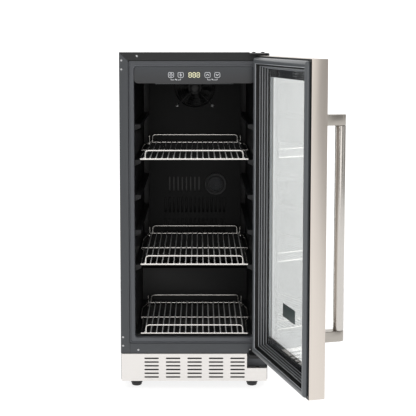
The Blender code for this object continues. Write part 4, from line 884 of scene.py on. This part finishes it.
# A black sheet on the gasket's inner flank: painted shadow under the gasket.
flank = [(stop + 0.0002, near), (stop + 0.0006, near), (stop - 0.0002, far - 0.0040),
         (stop - 0.0006, far - 0.0040)]
door_shadow_rings.append(carried("flank", DOOR_BOX, flank, SEAM_AND_SHADE_BLACK, place=OPENED))
hand_over(merge("door_frame_grooves", door_shadow_rings), "door", slot="black_plastic")


def highlight_ring(inward, depth, radius):
    """A thin pale round bead on the door's inner frame: a painted highlight along an edge."""
    angles = [n * math.pi / 3 for n in range(6)]
    section = [(inward + radius * math.cos(a), depth + radius * math.sin(a)) for a in angles]
    return carried("bead", DOOR_BOX, section, HIGHLIGHT_BEAD, place=OPENED)


# The pale beads are painted highlights at the gasket's inner edge and the frame's ridges.
highlight_beads = [highlight_ring(inward, depth, radius) for inward, depth, radius in
         ((0.0190, far - 0.0030, 0.0010), (0.0250, face - 0.0002, 0.0009), (0.0270, face - 0.0060, 0.0009),
          (0.0288, face - 0.0121, 0.0009), (0.0306, depth_in + 0.0022, 0.0009))]
hand_over(smooth(merge("door_frame_beads", highlight_beads), 60), "door", slot="grey_plastic")
print("door box", [round(value, 4) for value in DOOR_BOX])

# %% [markdown]
# The panes stay as they are, since a sheet of glass is a plain slab. The printed border lies on the inner
# pane's back: a thin dark ring with a narrow bright spacer bar showing beyond it.

# %% Panes, printed border, spacer and label
repaint(GLASS, "outer_glass", "inner_glass")
BORDER_EDGE = 0.0515
HINGE_SIDE_LESS = 0.0135
print_level = pane_low.y - 0.0004
print_section = [(0.0262, print_level), (0.0262, print_level + 0.0003), (BORDER_EDGE, print_level + 0.0003),
                 (BORDER_EDGE, print_level)]
print_box = (DOOR_BOX[0], DOOR_BOX[1] + HINGE_SIDE_LESS, DOOR_BOX[2], DOOR_BOX[3])
border = carried("printed_border", print_box, print_section, PRINT, place=OPENED)
hand_over(border, "door", slot="glass")
repaint(ALUMINIUM, "glazing_spacer")
rolled("blank_label", "door", LABEL, 0.00012, 1)

# %% [markdown]
# ## Handle
# A satin steel bar sits between two cast brackets. Each bracket is rounded about the bar and straight where
# it meets the door, with a fine joint line where the bar's end cap begins.

# %% Bar and brackets
rolled("handle_bar", "door", HANDLE_STEEL, 0.0008)
for which in ("upper", "lower"):
    rolled(f"handle_bracket_{which}", "door", BRACKET_STEEL, 0.0012, 3)
print("handle and brackets done")

# %% [markdown]
# ## Turned parts and circles of parts
# Caps, hubs, feet and screws are turned: a profile of radii and heights goes round an axis. Blades, ribs and
# spokes are one part set round a circle, which a node tree does with one turn for each copy.

# %% Turning helpers
def lathe(name, profile, finish, place=Matrix.Identity(4), sides=40):
    """Turns (radius, height) points round the Z axis. Both ends of the profile lie on the axis."""
    cage = bmesh.new()
    rings = []
    for radius, height in profile:
        if radius < 1e-6:
            rings.append([cage.verts.new((0, 0, height))])
            continue
        angles = [n * 2 * math.pi / sides for n in range(sides)]
        rings.append([cage.verts.new((radius * math.cos(a), radius * math.sin(a), height)) for a in angles])
    for first, second in zip(rings, rings[1:]):
        for n in range(sides):
            after = (n + 1) % sides
            corners = [first[n % len(first)], first[after % len(first)], second[after % len(second)],
                       second[n % len(second)]]
            unique = list(dict.fromkeys(corners))
            if len(unique) > 2:
                cage.faces.new(unique)
    mesh = mesh_of(name, cage)
    mesh.transform(place)
    return smooth(piece_of(name, mesh, finish), 32)


TO_FRONT = Matrix.Rotation(math.pi / 2, 4, "X")
TO_BACK = Matrix.Rotation(-math.pi / 2, 4, "X")
TO_SIDE = Matrix.Rotation(math.pi / 2, 4, "Y")

circle_of = Recipe("circle_of_parts", "Count", "Turn")
angle = circle_of.maths("MULTIPLY", circle_of.add("GeometryNodeInputIndex"), circle_of["Turn"])
circle_of.finish(circle_of.scatter(circle_of.row(circle_of["Count"]), circle_of["Mesh"],
                                   Rotation=circle_of.vector(Z=angle)))


def set_round(name, part, count, finish, place):
    """Copies of a small part, set round the Z axis and then put in place."""
    mesh = part.data
    bpy.data.objects.remove(part)
    return circle_of.make(name, finish, place, base=mesh, Count=count, Turn=2 * math.pi / count)


# %% [markdown]
# ## Control panel
# The panel is one glossy film with a display behind a dark window. Three digits of seven bars each glow
# warm, and four touch keys in rounded frames glow white, with a bracket under each pair. The marks are thin
# flat wires just proud of the film.

# %% Digits and touch keys
panel_low, panel_high = span("control_panel")
window_low, window_high = span("display_window")
repaint(PANEL, "control_panel")
repaint(PRINT, "display_window")
MARK_Y = panel_low.y
MARK_Z = (window_low.z + window_high.z) / 2


def ink(points, width=0.0009, closed=False):
    """A flat glowing line on the panel, through (across, up) points about the display's middle."""
    path = [(MIDDLE + u, 0, MARK_Z + v) for u, v in points]
    line = wire_along("mark", path, width / 2, SIGNS, 6, closed)
    line.data.transform(Matrix.Translation((0, MARK_Y, 0)) @ Matrix.Diagonal((1, 0.25, 1, 1)))
    return line


def key_frame(u):
    return ink([(u + x, z) for x, z in ring_points(-0.0068, 0.0068, -0.0062, 0.0062, 0.0028, 4)], closed=True)


def ring_mark(u, radius, sides=12):
    angles = [n * 2 * math.pi / sides for n in range(sides)]
    return ink([(u + radius * math.cos(a), radius * math.sin(a)) for a in angles], 0.0010, True)


KEYS = (-0.0586, -0.0341, 0.0338, 0.0584)
marks = [key_frame(u) for u in KEYS]
marks += [ring_mark(KEYS[0], 0.0032), ink([(KEYS[0], 0.0006), (KEYS[0], 0.0048)]),
          ink([(KEYS[1] - 0.0026, 0), (KEYS[1], 0.0040), (KEYS[1] + 0.0026, 0), (KEYS[1], -0.0040)],
              closed=True),
          ink([(KEYS[1], -0.0030), (KEYS[1], 0.0030)])]
for u, ends, tip in ((KEYS[2], -0.0018, 0.0022), (KEYS[3], 0.0022, -0.0018)):
    marks.append(ink([(u - 0.0036, ends), (u, tip), (u + 0.0036, ends)], 0.0014))
for first, second in (KEYS[:2], KEYS[2:]):
    middle = (first + second) / 2
    for side, u in ((-1, first), (1, second)):
        marks.append(ink([(u, -0.0090), (u, -0.0126), (middle + side * 0.0042, -0.0126)], 0.0009))
    marks.append(ink([(middle - 0.0020, -0.0118), (middle, -0.0104), (middle + 0.0020, -0.0134)], 0.0016))
hand_over(smooth(merge("touch_keys", marks)), "cabinet", slot="lamp_white")

DIGIT_WIDE, DIGIT_TALL, BAR = 0.0066, 0.0118, 0.0013


def digit_bars(u):
    """Seven bars of one digit, with small gaps at their ends."""
    half, rise, slack = DIGIT_WIDE / 2, DIGIT_TALL / 2, 0.0008
    level = [[(u - half + slack, z), (u + half - slack, z)] for z in (-rise, 0, rise)]
    upright = [[(u + side * half, z + slack), (u + side * half, z + rise - slack)]
               for side in (-1, 1) for z in (-rise, 0)]
    return [ink(points, BAR) for points in level + upright]


bars = [bar for u in (-0.0102, 0, 0.0102) for bar in digit_bars(u)]
digits = merge("display_digits", bars)
digits.data.materials[0] = DIGITS
digits.data.transform(Matrix.Translation((0, window_low.y - 0.0001 - MARK_Y, 0)))
hand_over(digits, "cabinet", slot="lamp_white")
rolled("light_strip", "cabinet", LAMP, 0.0008)
print("marks on the panel:", len(marks), "bars:", len(bars))

# %% [markdown]
# ## Fan guard
# The guard is made of round wire rings, all one thickness, welded to four flat spokes whose ears take the
# fan's screws. The rings grow by a fixed pitch, so the tree scales one circle by its number and only then
# gives it thickness, which keeps every wire as stout as the next.

# %% Ring guard and its screws
ring_set = Recipe("ring_set", "Count", "First", "Pitch", "Radius")
grown = ring_set.maths("MULTIPLY_ADD", ring_set.add("GeometryNodeInputIndex"), ring_set["Pitch"],
                       ring_set["First"])
unit = ring_set.add("GeometryNodeCurvePrimitiveCircle", {"Resolution": 56, "Radius": 1.0})
rings = ring_set.scatter(ring_set.row(ring_set["Count"]), unit, Scale=grown)
ring_set.finish(ring_set.wire(ring_set.real(rings), ring_set["Radius"], 8))

guard_low, guard_high = span("fan_guard")
FAN_AXIS = Vector((MIDDLE, 0, (guard_low.z + guard_high.z) / 2))
guard_y = guard_low.y + 0.0012
at_guard = Matrix.Translation((FAN_AXIS.x, guard_y, FAN_AXIS.z)) @ TO_FRONT
guard_parts = [ring_set.make("rings", BLACK_METAL_AND_SHADE, at_guard, Count=8, First=0.0145, Pitch=0.0063,
                             Radius=0.0010)]
spoke = block("spoke", (0.010, -0.0022, -0.0011), (0.0745, 0.0022, -0.0002), BLACK_METAL_AND_SHADE)
spoke = rounded_edges(spoke, 0.0004)
eighth = Matrix.Rotation(math.pi / 4, 4, "Z")
guard_parts.append(set_round("spokes", spoke, 4, BLACK_METAL_AND_SHADE, at_guard @ eighth))
guard_parts.append(lathe("hub", [(0, -0.0011), (0.0140, -0.0011), (0.0140, 0.0004), (0.0128, 0.0010),
                                 (0.0060, 0.0012), (0, 0.0012)], BLACK_METAL_AND_SHADE, at_guard))
ear = lathe("ear", [(0, -0.0010), (0.0042, -0.0010), (0.0042, 0.0002), (0.0028, 0.0004), (0.0026, 0.0010),
                    (0, 0.0012)], SCREW_STEEL, Matrix.Translation((0.0742, 0, 0)), 16)
guard_parts.append(set_round("ears", ear, 4, SCREW_STEEL, at_guard @ eighth))
hand_over(smooth(merge("fan_guard_rings", guard_parts)), "cabinet", "fan_guard", slot="black_steel")

# %% [markdown]
# ## Fans
# A blade is a thin sheet that is twisted along its length and hollowed across it. One blade is made as a
# grid, given its thickness, and set round the hub. Both fans use it at their own sizes.

# %% Blades, hubs and frames
def fan_wheel(name, node, axis, blades, place, reach, hub, deep):
    """A wheel whose axis is Z before it is put in place."""
    cage = bmesh.new()
    rows = []
    for n in range(7):
        t = n / 6
        radius = hub * 0.9 + (reach - hub * 0.9) * t
        twist = math.radians(52 - 22 * t)
        half = 0.0070 + 0.0095 * t * (reach / 0.055)
        row_points = []
        for m in range(6):
            c = m / 5 - 0.5
            along = 2 * c * half
            bow = 0.0022 * (1 - 4 * c * c)
            spread = along * math.cos(twist)
            rise = along * math.sin(twist) + bow
            rise = max(-deep / 2 + 0.001, min(deep / 2 - 0.001, rise))
            turn_by = spread / radius
            row_points.append(cage.verts.new((radius * math.cos(turn_by), radius * math.sin(turn_by), rise)))
        rows.append(row_points)
    for first, second in zip(rows, rows[1:]):
        for m in range(5):
            cage.faces.new((first[m], first[m + 1], second[m + 1], second[m]))
    blade = piece_of("blade", mesh_of("blade", cage), BLACK)
    wall = blade.modifiers.new("wall", "SOLIDIFY")
    wall.thickness = 0.0012
    wall.offset = 0
    settled(blade)
    wheel = [set_round("blades", blade, blades, BLACK, place)]
    half_deep = deep / 2
    wheel.append(lathe("hub", [(0, -half_deep), (hub, -half_deep), (hub, half_deep - 0.003),
                               (hub * 0.93, half_deep - 0.0008), (hub * 0.5, half_deep - 0.0002),
                               (0, half_deep)], BLACK, place))
    hand_over(smooth(merge(name, wheel)), axis, node, slot="black_plastic")


fan_low, fan_high = span("evaporator_fan")
fan_y = (fan_low.y + fan_high.y) / 2
fan_wheel("evaporator_fan_wheel", "evaporator_fan", "evaporator_fan", 7,
          Matrix.Translation((FAN_AXIS.x, fan_y, FAN_AXIS.z)) @ TO_FRONT,
          (fan_high.z - fan_low.z) / 2 - 0.0015, 0.0205, fan_high.y - fan_low.y)
blow_low, blow_high = span("condenser_fan")
frame_box_low, frame_box_high = span("condenser_fan_frame")
blow_middle = (frame_box_low + frame_box_high) / 2
blow_middle.x = (blow_low.x + blow_high.x) / 2
fan_wheel("condenser_fan_wheel", "condenser_fan", "condenser_fan", 5,
          Matrix.Translation(blow_middle) @ TO_SIDE, (blow_high.z - blow_low.z) / 2 - 0.0015, 0.0160,
          blow_high.x - blow_low.x)
rolled("evaporator_fan_frame", "cabinet", BLACK, 0.0006)
rolled("condenser_fan_frame", "cabinet", BLACK, 0.0006)

# %% [markdown]
# ## Filter cap and vents
# The round cap twists off to change the filter. It has a raised rim, a ring of finger grips and a woven
# centre. The weave is two sets of wires cut to the circle: each wire's length is the chord at its place.
# The vents have the small rolled rims of a moulded slot.

# %% Filter cap
chord = Recipe("chords", "Count", "Pitch", "Reach", "Radius")
pitch, reach = chord["Pitch"], chord["Reach"]
half_count = chord.maths("MULTIPLY", chord.maths("SUBTRACT", chord["Count"], 1.0), -0.5)
begin = chord.vector(Y=chord.maths("MULTIPLY", half_count, pitch))
away = chord.add("ShaderNodeSeparateXYZ", {0: chord.add("GeometryNodeInputPosition")}, out=1)
squares = [chord.maths("MULTIPLY", value, value) for value in (reach, away)]
half_chord = chord.maths("SQRT", chord.maths("SUBTRACT", *squares))
across = chord.add("GeometryNodeCurvePrimitiveLine", {"Start": (-1, 0, 0), "End": (1, 0, 0)})
chords = chord.scatter(chord.row(chord["Count"], chord.vector(Y=pitch), begin), across,
                       Scale=chord.vector(X=half_chord, Y=1.0, Z=1.0))
chord.finish(chord.wire(chord.real(chords), chord["Radius"], 6))

cap_low, cap_high = span("filter_cap")
cap_radius = (cap_high.z - cap_low.z) / 2
CAP_SPOT = Vector(((cap_low.x + cap_high.x) / 2, cap_high.y, (cap_low.z + cap_high.z) / 2))
at_cap = Matrix.Translation(CAP_SPOT) @ TO_FRONT
deep = cap_high.y - cap_low.y
low_rim, high_rim = deep * 0.55, deep * 0.72
cap_rim = [(0, low_rim), (0.0012, high_rim), (0.0042, high_rim), (0.0056, low_rim), (0.0074, low_rim),
           (0.0088, deep)]
cap_outline = [(0, 0), (cap_radius, 0), *[(cap_radius - inward, rise) for inward, rise in cap_rim],
               (0.0200, deep), (0.0190, deep - 0.0012), (0.0186, deep - 0.0040), (0, deep - 0.0040)]
cap_parts = [lathe("cap", cap_outline, CAP_GREY, at_cap, 56)]
grip = block("grip", (cap_radius - 0.0042, -0.0008, deep * 0.70), (cap_radius - 0.0014, 0.0008, deep * 0.86),
             CAP_GREY)
grip = rounded_edges(grip, 0.0003)
cap_parts.append(set_round("grips", grip, 28, CAP_GREY, at_cap))
for quarter in (1, 3):
    weave = Matrix.Translation((0, 0, deep - 0.0026)) @ Matrix.Rotation(quarter * math.pi / 4, 4, "Z")
    cap_parts.append(chord.make("weave", GREY, at_cap @ weave, Count=13, Pitch=0.0028, Reach=0.0188,
                                Radius=0.00055))
hand_over(smooth(merge("filter_cap_shape", cap_parts)), "cabinet", "filter_cap", slot="black_plastic")

# %% Rims of the vents
duct_low = span("duct_panel")[0]
VENT_PITCH, VENT_ROW, VENT_WIDE, VENT_TALL = 0.0125, 0.0631, 0.0055, 0.0437
vent_spots = []
for row_number, columns in ((0, 15), (-1, 15), (-2, 15)):
    for n in range(columns):
        if row_number == 0 and not 1 <= n <= 8:
            continue
        vent_spots.append((MIDDLE + (n - 7) * VENT_PITCH, duct_low.y, CAP_SPOT.z + row_number * VENT_ROW))
vent_rims = rim.make("vent_rims", DUCT, base=points_mesh(vent_spots), Wide=VENT_WIDE + 0.0004,
                     Tall=VENT_TALL + 0.0004, Corner=VENT_WIDE / 2)
hand_over(smooth(vent_rims, 60), "cabinet", slot="black_plastic")
# The evaporator behind the vents takes the black steel finish as painted shade, so the vents read dark.
repaint(BLACK_METAL_AND_SHADE, "evaporator", "condenser_coil")
print("vents:", len(vent_spots))

# %% [markdown]
# ## Back of the fridge
# The machine bay is closed by a louvred sheet. Each louvre is a lip pressed out over its slot. Screws hold
# the cover and the back panel, and the mains lead enters through a moulded gland.

# %% Louvres and screws
cover_low, cover_high = span("rear_cover")
lip = Recipe("louvre_lips")
lip_line = lip.add("GeometryNodeCurvePrimitiveLine", {"Start": (-0.0252, 0, 0), "End": (0.0252, 0, 0)})
lip_section = lip.add("GeometryNodeCurvePrimitiveQuadrilateral", {"Width": 0.0009, "Height": 0.0062})
lip_section = lip.add("GeometryNodeFilletCurve", {"Curve": lip_section, "Radius": 0.0004})
lip_bar = lip.tipped(lip.sweep(lip_line, lip_section), math.radians(62))
lip.finish(lip.scatter(lip["Mesh"], lip_bar))
lip_spots = []
for column in range(4):
    for level in range(6):
        lip_spots.append((MIDDLE - 0.085 + column * 0.066, cover_high.y + 0.0014,
                          cover_low.z + 0.0535 + level * 0.016))
lips = lip.make("louvre_lips", CHARCOAL, base=points_mesh(lip_spots))
hand_over(smooth(lips), "cabinet", slot="grey_paint")

pan_outline = [(0, -0.0004), (0.0036, -0.0004), (0.0036, 0.0005), (0.0030, 0.0014), (0.0012, 0.0018),
               (0.0010, 0.0010), (0, 0.0008)]
pan_screw = lathe("pan_screw", pan_outline, SCREW_STEEL, TO_BACK, 20)
screw_row = Recipe("screw_row")
head_in = screw_row.add("GeometryNodeObjectInfo", {"Object": pan_screw}, out=4, transform_space="ORIGINAL")
screw_row.finish(screw_row.scatter(screw_row["Mesh"], head_in))
back_low, back_high = span("back_panel")
SCREW_IN = 0.012
screw_spots = []
for side in (-1, 1):
    x = MIDDLE + side * ((back_high.x - back_low.x) / 2 - 0.010)
    first = back_low.z + SCREW_IN
    step = (back_high.z - SCREW_IN - first) / 4
    screw_spots += [(x, back_high.y, first + n * step) for n in range(5)]
    screw_spots += [(x, cover_high.y, z) for z in (cover_low.z + SCREW_IN, cover_high.z - SCREW_IN)]
screw_spots += [(MIDDLE, high.y, high.z - SCREW_IN) for high in (back_high, cover_high)]
back_screws = screw_row.make("back_screws", SCREW_STEEL, base=points_mesh(screw_spots))
bpy.data.objects.remove(pan_screw)
hand_over(smooth(back_screws), "cabinet", slot="zinc_steel")
rolled("cord_gland", "cabinet", BLACK, 0.0006)
rolled("compressor", "cabinet", BLACK_METAL_AND_SHADE, 0.004, 3)

# %% [markdown]
# ## Feet and hinge screws
# A levelling foot is a ribbed moulding on a threaded stem. The thread is drawn as rings, which is how a fine
# thread looks at this size. The hinge screws are pan heads, and their cross recess is a flat black cross of
# painted shade.

# %% Feet
for foot_name in ("foot_front_left", "foot_front_right", "foot_back_left", "foot_back_right"):
    low, high = span(foot_name)
    centre = Matrix.Translation(((low.x + high.x) / 2, (low.y + high.y) / 2, 0))
    outer = (high.y - low.y) / 2
    stem = 0.0040
    outline = [(0, 0), (outer * 0.78, 0), (outer * 0.84, 0.0008), (outer * 0.94, 0.0062),
               (outer * 0.94, 0.0180), (outer * 0.88, 0.0194), (stem, 0.0196)]
    for n in range(12):
        outline += [(stem, 0.0202 + n * 0.0016), (stem - 0.0005, 0.0210 + n * 0.0016)]
    outline += [(stem - 0.0008, high.z), (0, high.z)]
    rib = block("rib", (outer * 0.90, -0.0008, 0.0068), (outer * 0.995, 0.0008, 0.0176), BLACK)
    ribs = set_round("ribs", rounded_edges(rib, 0.0003), 24, BLACK, centre)
    parts = [lathe("pad", outline, BLACK, centre, 32), ribs]
    hand_over(smooth(merge(f"{foot_name}_shape", parts)), foot_name, foot_name, slot="black_plastic")

# %% Hinge screws
for screw_name in ("screw_upper_left", "screw_upper_right", "screw_lower_left", "screw_lower_right"):
    low, high = span(screw_name)
    centre = Matrix.Translation(((low.x + high.x) / 2, (low.y + high.y) / 2, high.z))
    wide = (high.x - low.x) / 2
    outline = [(0, -0.0024), (wide, -0.0024), (wide, -0.0014), (wide * 0.86, -0.0004), (wide * 0.5, 0),
               (0, 0)]
    screw_finish = BLACK_METAL_AND_SHADE if "upper" in screw_name else SCREW_STEEL
    parts = [lathe("head", outline, screw_finish, centre, 24)]
    # The cross recess is not cut: two black bars on the head are its painted shade.
    for turn in (0, 1):
        recess_shade = block("cross", (-wide * 0.62, -0.0005, -0.0006), (wide * 0.62, 0.0005, 0.00002), SEAM_AND_SHADE_BLACK,
                         centre @ Matrix.Rotation(turn * math.pi / 2, 4, "Z"))
        parts.append(recess_shade)
    hand_over(merge(f"{screw_name}_head", parts), "cabinet", screw_name, slot="zinc_steel")

# %% [markdown]
# ## Ledge under the hinge
# The kick plate is folded back into a ledge below the lower hinge. A round hole in it takes the tool that
# turns the hinge's adjuster, so its edge is rolled. The hole is not cut: a black disc is painted shade for
# its inside.

# %% Hole in the ledge
ledge_z = span("corner_block")[0].z
hole_spot = Matrix.Translation((frame_low.x + 0.3540, FRONT + 0.0100, ledge_z + 0.0001))
# The hole is not cut: a black disc on the ledge is painted shade for its dark inside.
hole = [lathe("hole", [(0, -0.0006), (0.0050, -0.0006), (0.0050, 0.0), (0, 0.00005)], SEAM_AND_SHADE_BLACK, hole_spot,
              24),
        lathe("hole_rim", [(0.0048, -0.0006), (0.0062, -0.0006), (0.0062, 0.0), (0.0056, 0.0003),
                           (0.0048, 0.0001), (0.0048, -0.0006)], BRACKET_STEEL, hole_spot, 24)]
hand_over(merge("ledge_hole", hole), "cabinet", slot="stainless")

# %% [markdown]
# ## Studio
# A pale floor and a pale wall, a large soft light above and a card in front, as a product studio has. The
# floor is bright, and steel below the eye reflects it.

# %% Floor, wall and lights
def studio_white(name, glow):
    made = Finish(name, Roughness=0.6, Emission_Strength=glow)
    cloud = made.noise(made.spot(), 0.4, 1.0)
    made.feed("Base Color", made.blend(cloud, (0.34, 0.34, 0.34, 1), (0.36, 0.36, 0.36, 1)))
    made.shader.inputs["Emission Color"].default_value = (1, 1, 1, 1)
    return made.material


def sheet(name, corners, finish):
    mesh = bpy.data.meshes.new(name)
    mesh.from_pydata(corners, [], [(0, 1, 2, 3)])
    made = piece_of(name, mesh, finish)
    return made


WALL_BACK = FRONT + 4.0
sheet("studio_floor", [(-9, -8, 0), (9, -8, 0), (9, WALL_BACK, 0), (-9, WALL_BACK, 0)],
      studio_white("floor_white", 0.86))
sheet("studio_wall", [(9, WALL_BACK, 0), (-9, WALL_BACK, 0), (-9, WALL_BACK, 7), (9, WALL_BACK, 7)],
      studio_white("wall_white", 0.96))


def softbox(name, spot, aim, width, height, power, colour=(1, 1, 1)):
    light = bpy.data.lights.new(name, "AREA")
    light.shape = "RECTANGLE"
    light.size = width
    light.size_y = height
    light.energy = power
    light.color = colour
    made = bpy.data.objects.new(name, light)
    bpy.context.scene.collection.objects.link(made)
    made.location = spot
    made.rotation_euler = (Vector(aim) - Vector(spot)).to_track_quat("-Z", "Y").to_euler()
    return made


softbox("key_left", (-2.6, FRONT - 2.6, 2.4), (MIDDLE, FRONT, 0.45), 1.8, 2.2, 25, (1.0, 0.985, 0.96))
softbox("fill_right", (2.8, FRONT - 1.8, 1.6), (MIDDLE + 0.2, FRONT - 0.2, 0.45), 1.2, 2.0, 5,
        (1.0, 0.99, 0.97))
softbox("front", (0.15, FRONT - 5.6, 1.5), (MIDDLE + 0.1, FRONT, 0.5), 3.0, 2.4, 34,
        (1.0, 0.98, 0.96))
softbox("top", (0.2, FRONT - 0.6, 3.2), (0.0, FRONT, 0.3), 2.4, 2.4, 26)
world = bpy.data.worlds.new("studio_air")
bpy.context.scene.world = world
world.use_nodes = True
world.node_tree.nodes["Background"].inputs["Color"].default_value = (0.86, 0.84, 0.82, 1)
world.node_tree.nodes["Background"].inputs["Strength"].default_value = 0.34
bpy.context.scene.view_settings.view_transform = "Standard"
print("lights:", len(bpy.data.lights))

# %% [markdown]
# ## Camera
# The view is from straight in front through a long lens, a little above the top. The lens is shifted down a
# little, so that upright edges lean less.

# %% Camera
EYE = Vector((MIDDLE + 0.0115, FRONT - 2.764, 0.9164))
lens = bpy.data.cameras.new("front_camera")
lens.lens = 94.64
lens.sensor_width = 36.0
lens.shift_x = 0.0223
lens.shift_y = -0.17
lens.clip_end = 40.0
camera = bpy.data.objects.new("front_camera", lens)
bpy.context.scene.collection.objects.link(camera)
camera.location = EYE
camera.rotation_euler = (math.pi / 2 - 0.0944, 0, 0)
bpy.context.scene.camera = camera
